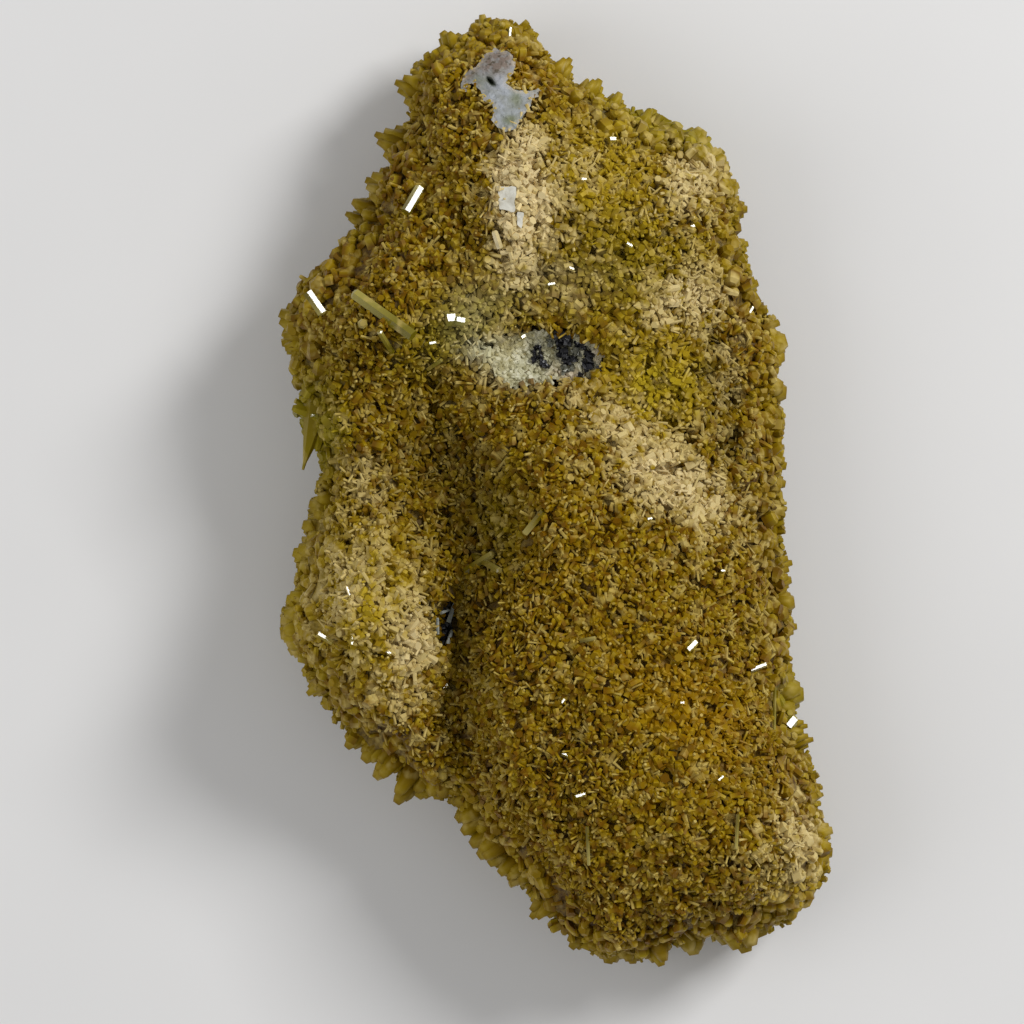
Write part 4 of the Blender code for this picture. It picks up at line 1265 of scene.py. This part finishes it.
def add_stage():
    """The floor, the lights and an even pale sky."""
    points = np.array([(-1, -1, 0), (1, -1, 0), (1, 1, 0), (-1, 1, 0)]) * FLOOR_REACH
    floor = mesh_object("floor", points, [np.array([[0, 1, 2, 3]])])
    floor.data.materials.append(floor_material())
    floor.location.z = -FLOOR_DROP * MM
    for name, facts in LIGHTS.items():
        add_light(name, *facts)
    world = bpy.data.worlds.new("studio")
    world.use_nodes = True
    sky = world.node_tree.nodes["Background"].inputs
    sky["Color"].default_value = (*WHITE, 1.0)
    sky["Strength"].default_value = SKY_STRENGTH
    bpy.context.scene.world = world
    bpy.context.scene.view_settings.view_transform = "Standard"


def place(piece, material, slot, *nodes):
    """Gives a piece its material; it stands in for the named nodes of the solids.

    The slot is not used.
    """
    piece.data.materials.append(material)
    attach(piece, BODY)
    if nodes:
        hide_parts(*nodes)


def place_crystals(name, crystals, material, slot="pyromorphite", bevelled=True, rounded=False):
    points, quads, marks = prisms(crystals, bevelled)
    piece = mesh_object(name, points, [quads], marks)
    if rounded:
        piece.data.shade_smooth()
    place(piece, material, slot)


# The face in three parts along y, so that no piece is too large.
REGIONS = (("narrow_end", 18.0, 60.0), ("middle", -14.0, 18.0), ("broad_end", -60.0, -14.0))
# Stout crystals stand within RIM_BAND of the outline, with a share of the small ones among them.
RIM_BAND = 2.6
SMALL_AMONG_BIG = 0.4


def add_crystals(material, chance):
    """The small crystals of the face, its shoulder and its sides."""
    for layer, kind in (("low", LOW_CRYSTALS), ("high", HIGH_CRYSTALS)):
        points, normals = lumpy_face(face_places(kind, chance))
        keep = ~on_bare_ground(points)
        if layer == "high":
            keep &= ~under_laid(points)
        crystals = grown(points[keep], normals[keep], kind, chance)
        y = crystals["roots"][:, 1]
        for region, low, high in REGIONS:
            chosen = picked(crystals, (y > low) & (y <= high))
            place_crystals(f"{layer}_crystals_{region}", chosen, material, bevelled=False)
    for layer, kind in (("small", RING_CRYSTALS), ("big", BIG_CRYSTALS)):
        points, normals = lumpy_face(ring_places(kind, chance))
        keep = depth_inside(points) < RIM_BAND
        if layer == "small":
            keep = ~keep | (chance.uniform(0.0, 1.0, len(points)) < SMALL_AMONG_BIG)
        keep &= ~on_bare_ground(points) & ~under_laid(points)
        crystals = grown(points[keep], normals[keep], kind, chance)
        place_crystals(f"{layer}_crystals_shoulder", crystals, material)
    for layer, kind in (("small", SIDE_CRYSTALS), ("big", BIG_CRYSTALS)):
        crystals = grown(*side_places(kind, chance), kind, chance)
        place_crystals(f"{layer}_crystals_side", crystals, material, bevelled=False)


def add_stone_and_ore(chance):
    """What shows where the crust is open, and the rock under it all."""
    place(matrix_rock(), rock_material(), "rock", "matrix")
    pale, dark = stone_material(), pit_material()
    place(stone_piece("hollow", HOLLOW), pale, "rock")
    place_crystals("hollow_grains", hollow_grains(chance), pale, "rock", bevelled=False)
    place(stone_piece("pit", PIT), dark, "rock")
    place(patch_piece(), patch_material(), "pale_mineral", "pale_patch")
    white = chip_material()
    for name in CHIPS:
        place(chip(name), white, "pale_mineral")
    black = ore_material("dark ore", (0.003, 0.003, 0.005), (0.03, 0.03, 0.038))
    grey = ore_material("grey ore", (0.10, 0.10, 0.07), (0.26, 0.26, 0.20))
    silver = ore_material("grey needles", (0.26, 0.28, 0.25), (0.48, 0.50, 0.46))
    for site, masses in ORE.items():
        place(ore_piece(f"{site}_ore", masses, site, chance), black, "dark_ore", f"dark_ore_{site}")
    place(ore_piece("grey_ore", GREY_ORE, "hollow", chance), grey, "dark_ore")
    place_crystals("grey_needles", needles(chance), silver, "dark_ore")


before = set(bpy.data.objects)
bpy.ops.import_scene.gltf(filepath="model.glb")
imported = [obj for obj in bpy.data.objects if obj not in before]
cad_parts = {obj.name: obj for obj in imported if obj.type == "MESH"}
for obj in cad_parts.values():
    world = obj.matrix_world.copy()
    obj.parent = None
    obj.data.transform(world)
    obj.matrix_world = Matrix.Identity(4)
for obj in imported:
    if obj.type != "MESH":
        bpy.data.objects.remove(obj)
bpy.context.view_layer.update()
chance = np.random.default_rng(CRYSTAL_SEED)

place(crust_ground(), ground_material(), "pyromorphite", "crystal_crust")
satin = crystal_material("pyromorphite", 0.45, 1.38, WARM_SHEEN, GOLD, DEEP_GOLD)
add_crystals(satin, chance)
place_crystals("pit_crystals", on_stone("pit", PIT, chance), satin, bevelled=False)
place_crystals("patch_rim_crystals", patch_rim(chance), satin)
place_crystals("outline_crystals", teeth(chance), satin, rounded=True)
place_crystals("hanging_crystals", spikes(chance), satin)
glossy = crystal_material("glossy pyromorphite", 0.14, 1.6, WHITE, PALE_GOLD, PALE_FOOT)
place_crystals("laid_crystals", laid_crystals(chance), glossy)
place_crystals("glinting_crystals", glints(chance), glossy)
add_stone_and_ore(chance)
add_camera()
add_stage()
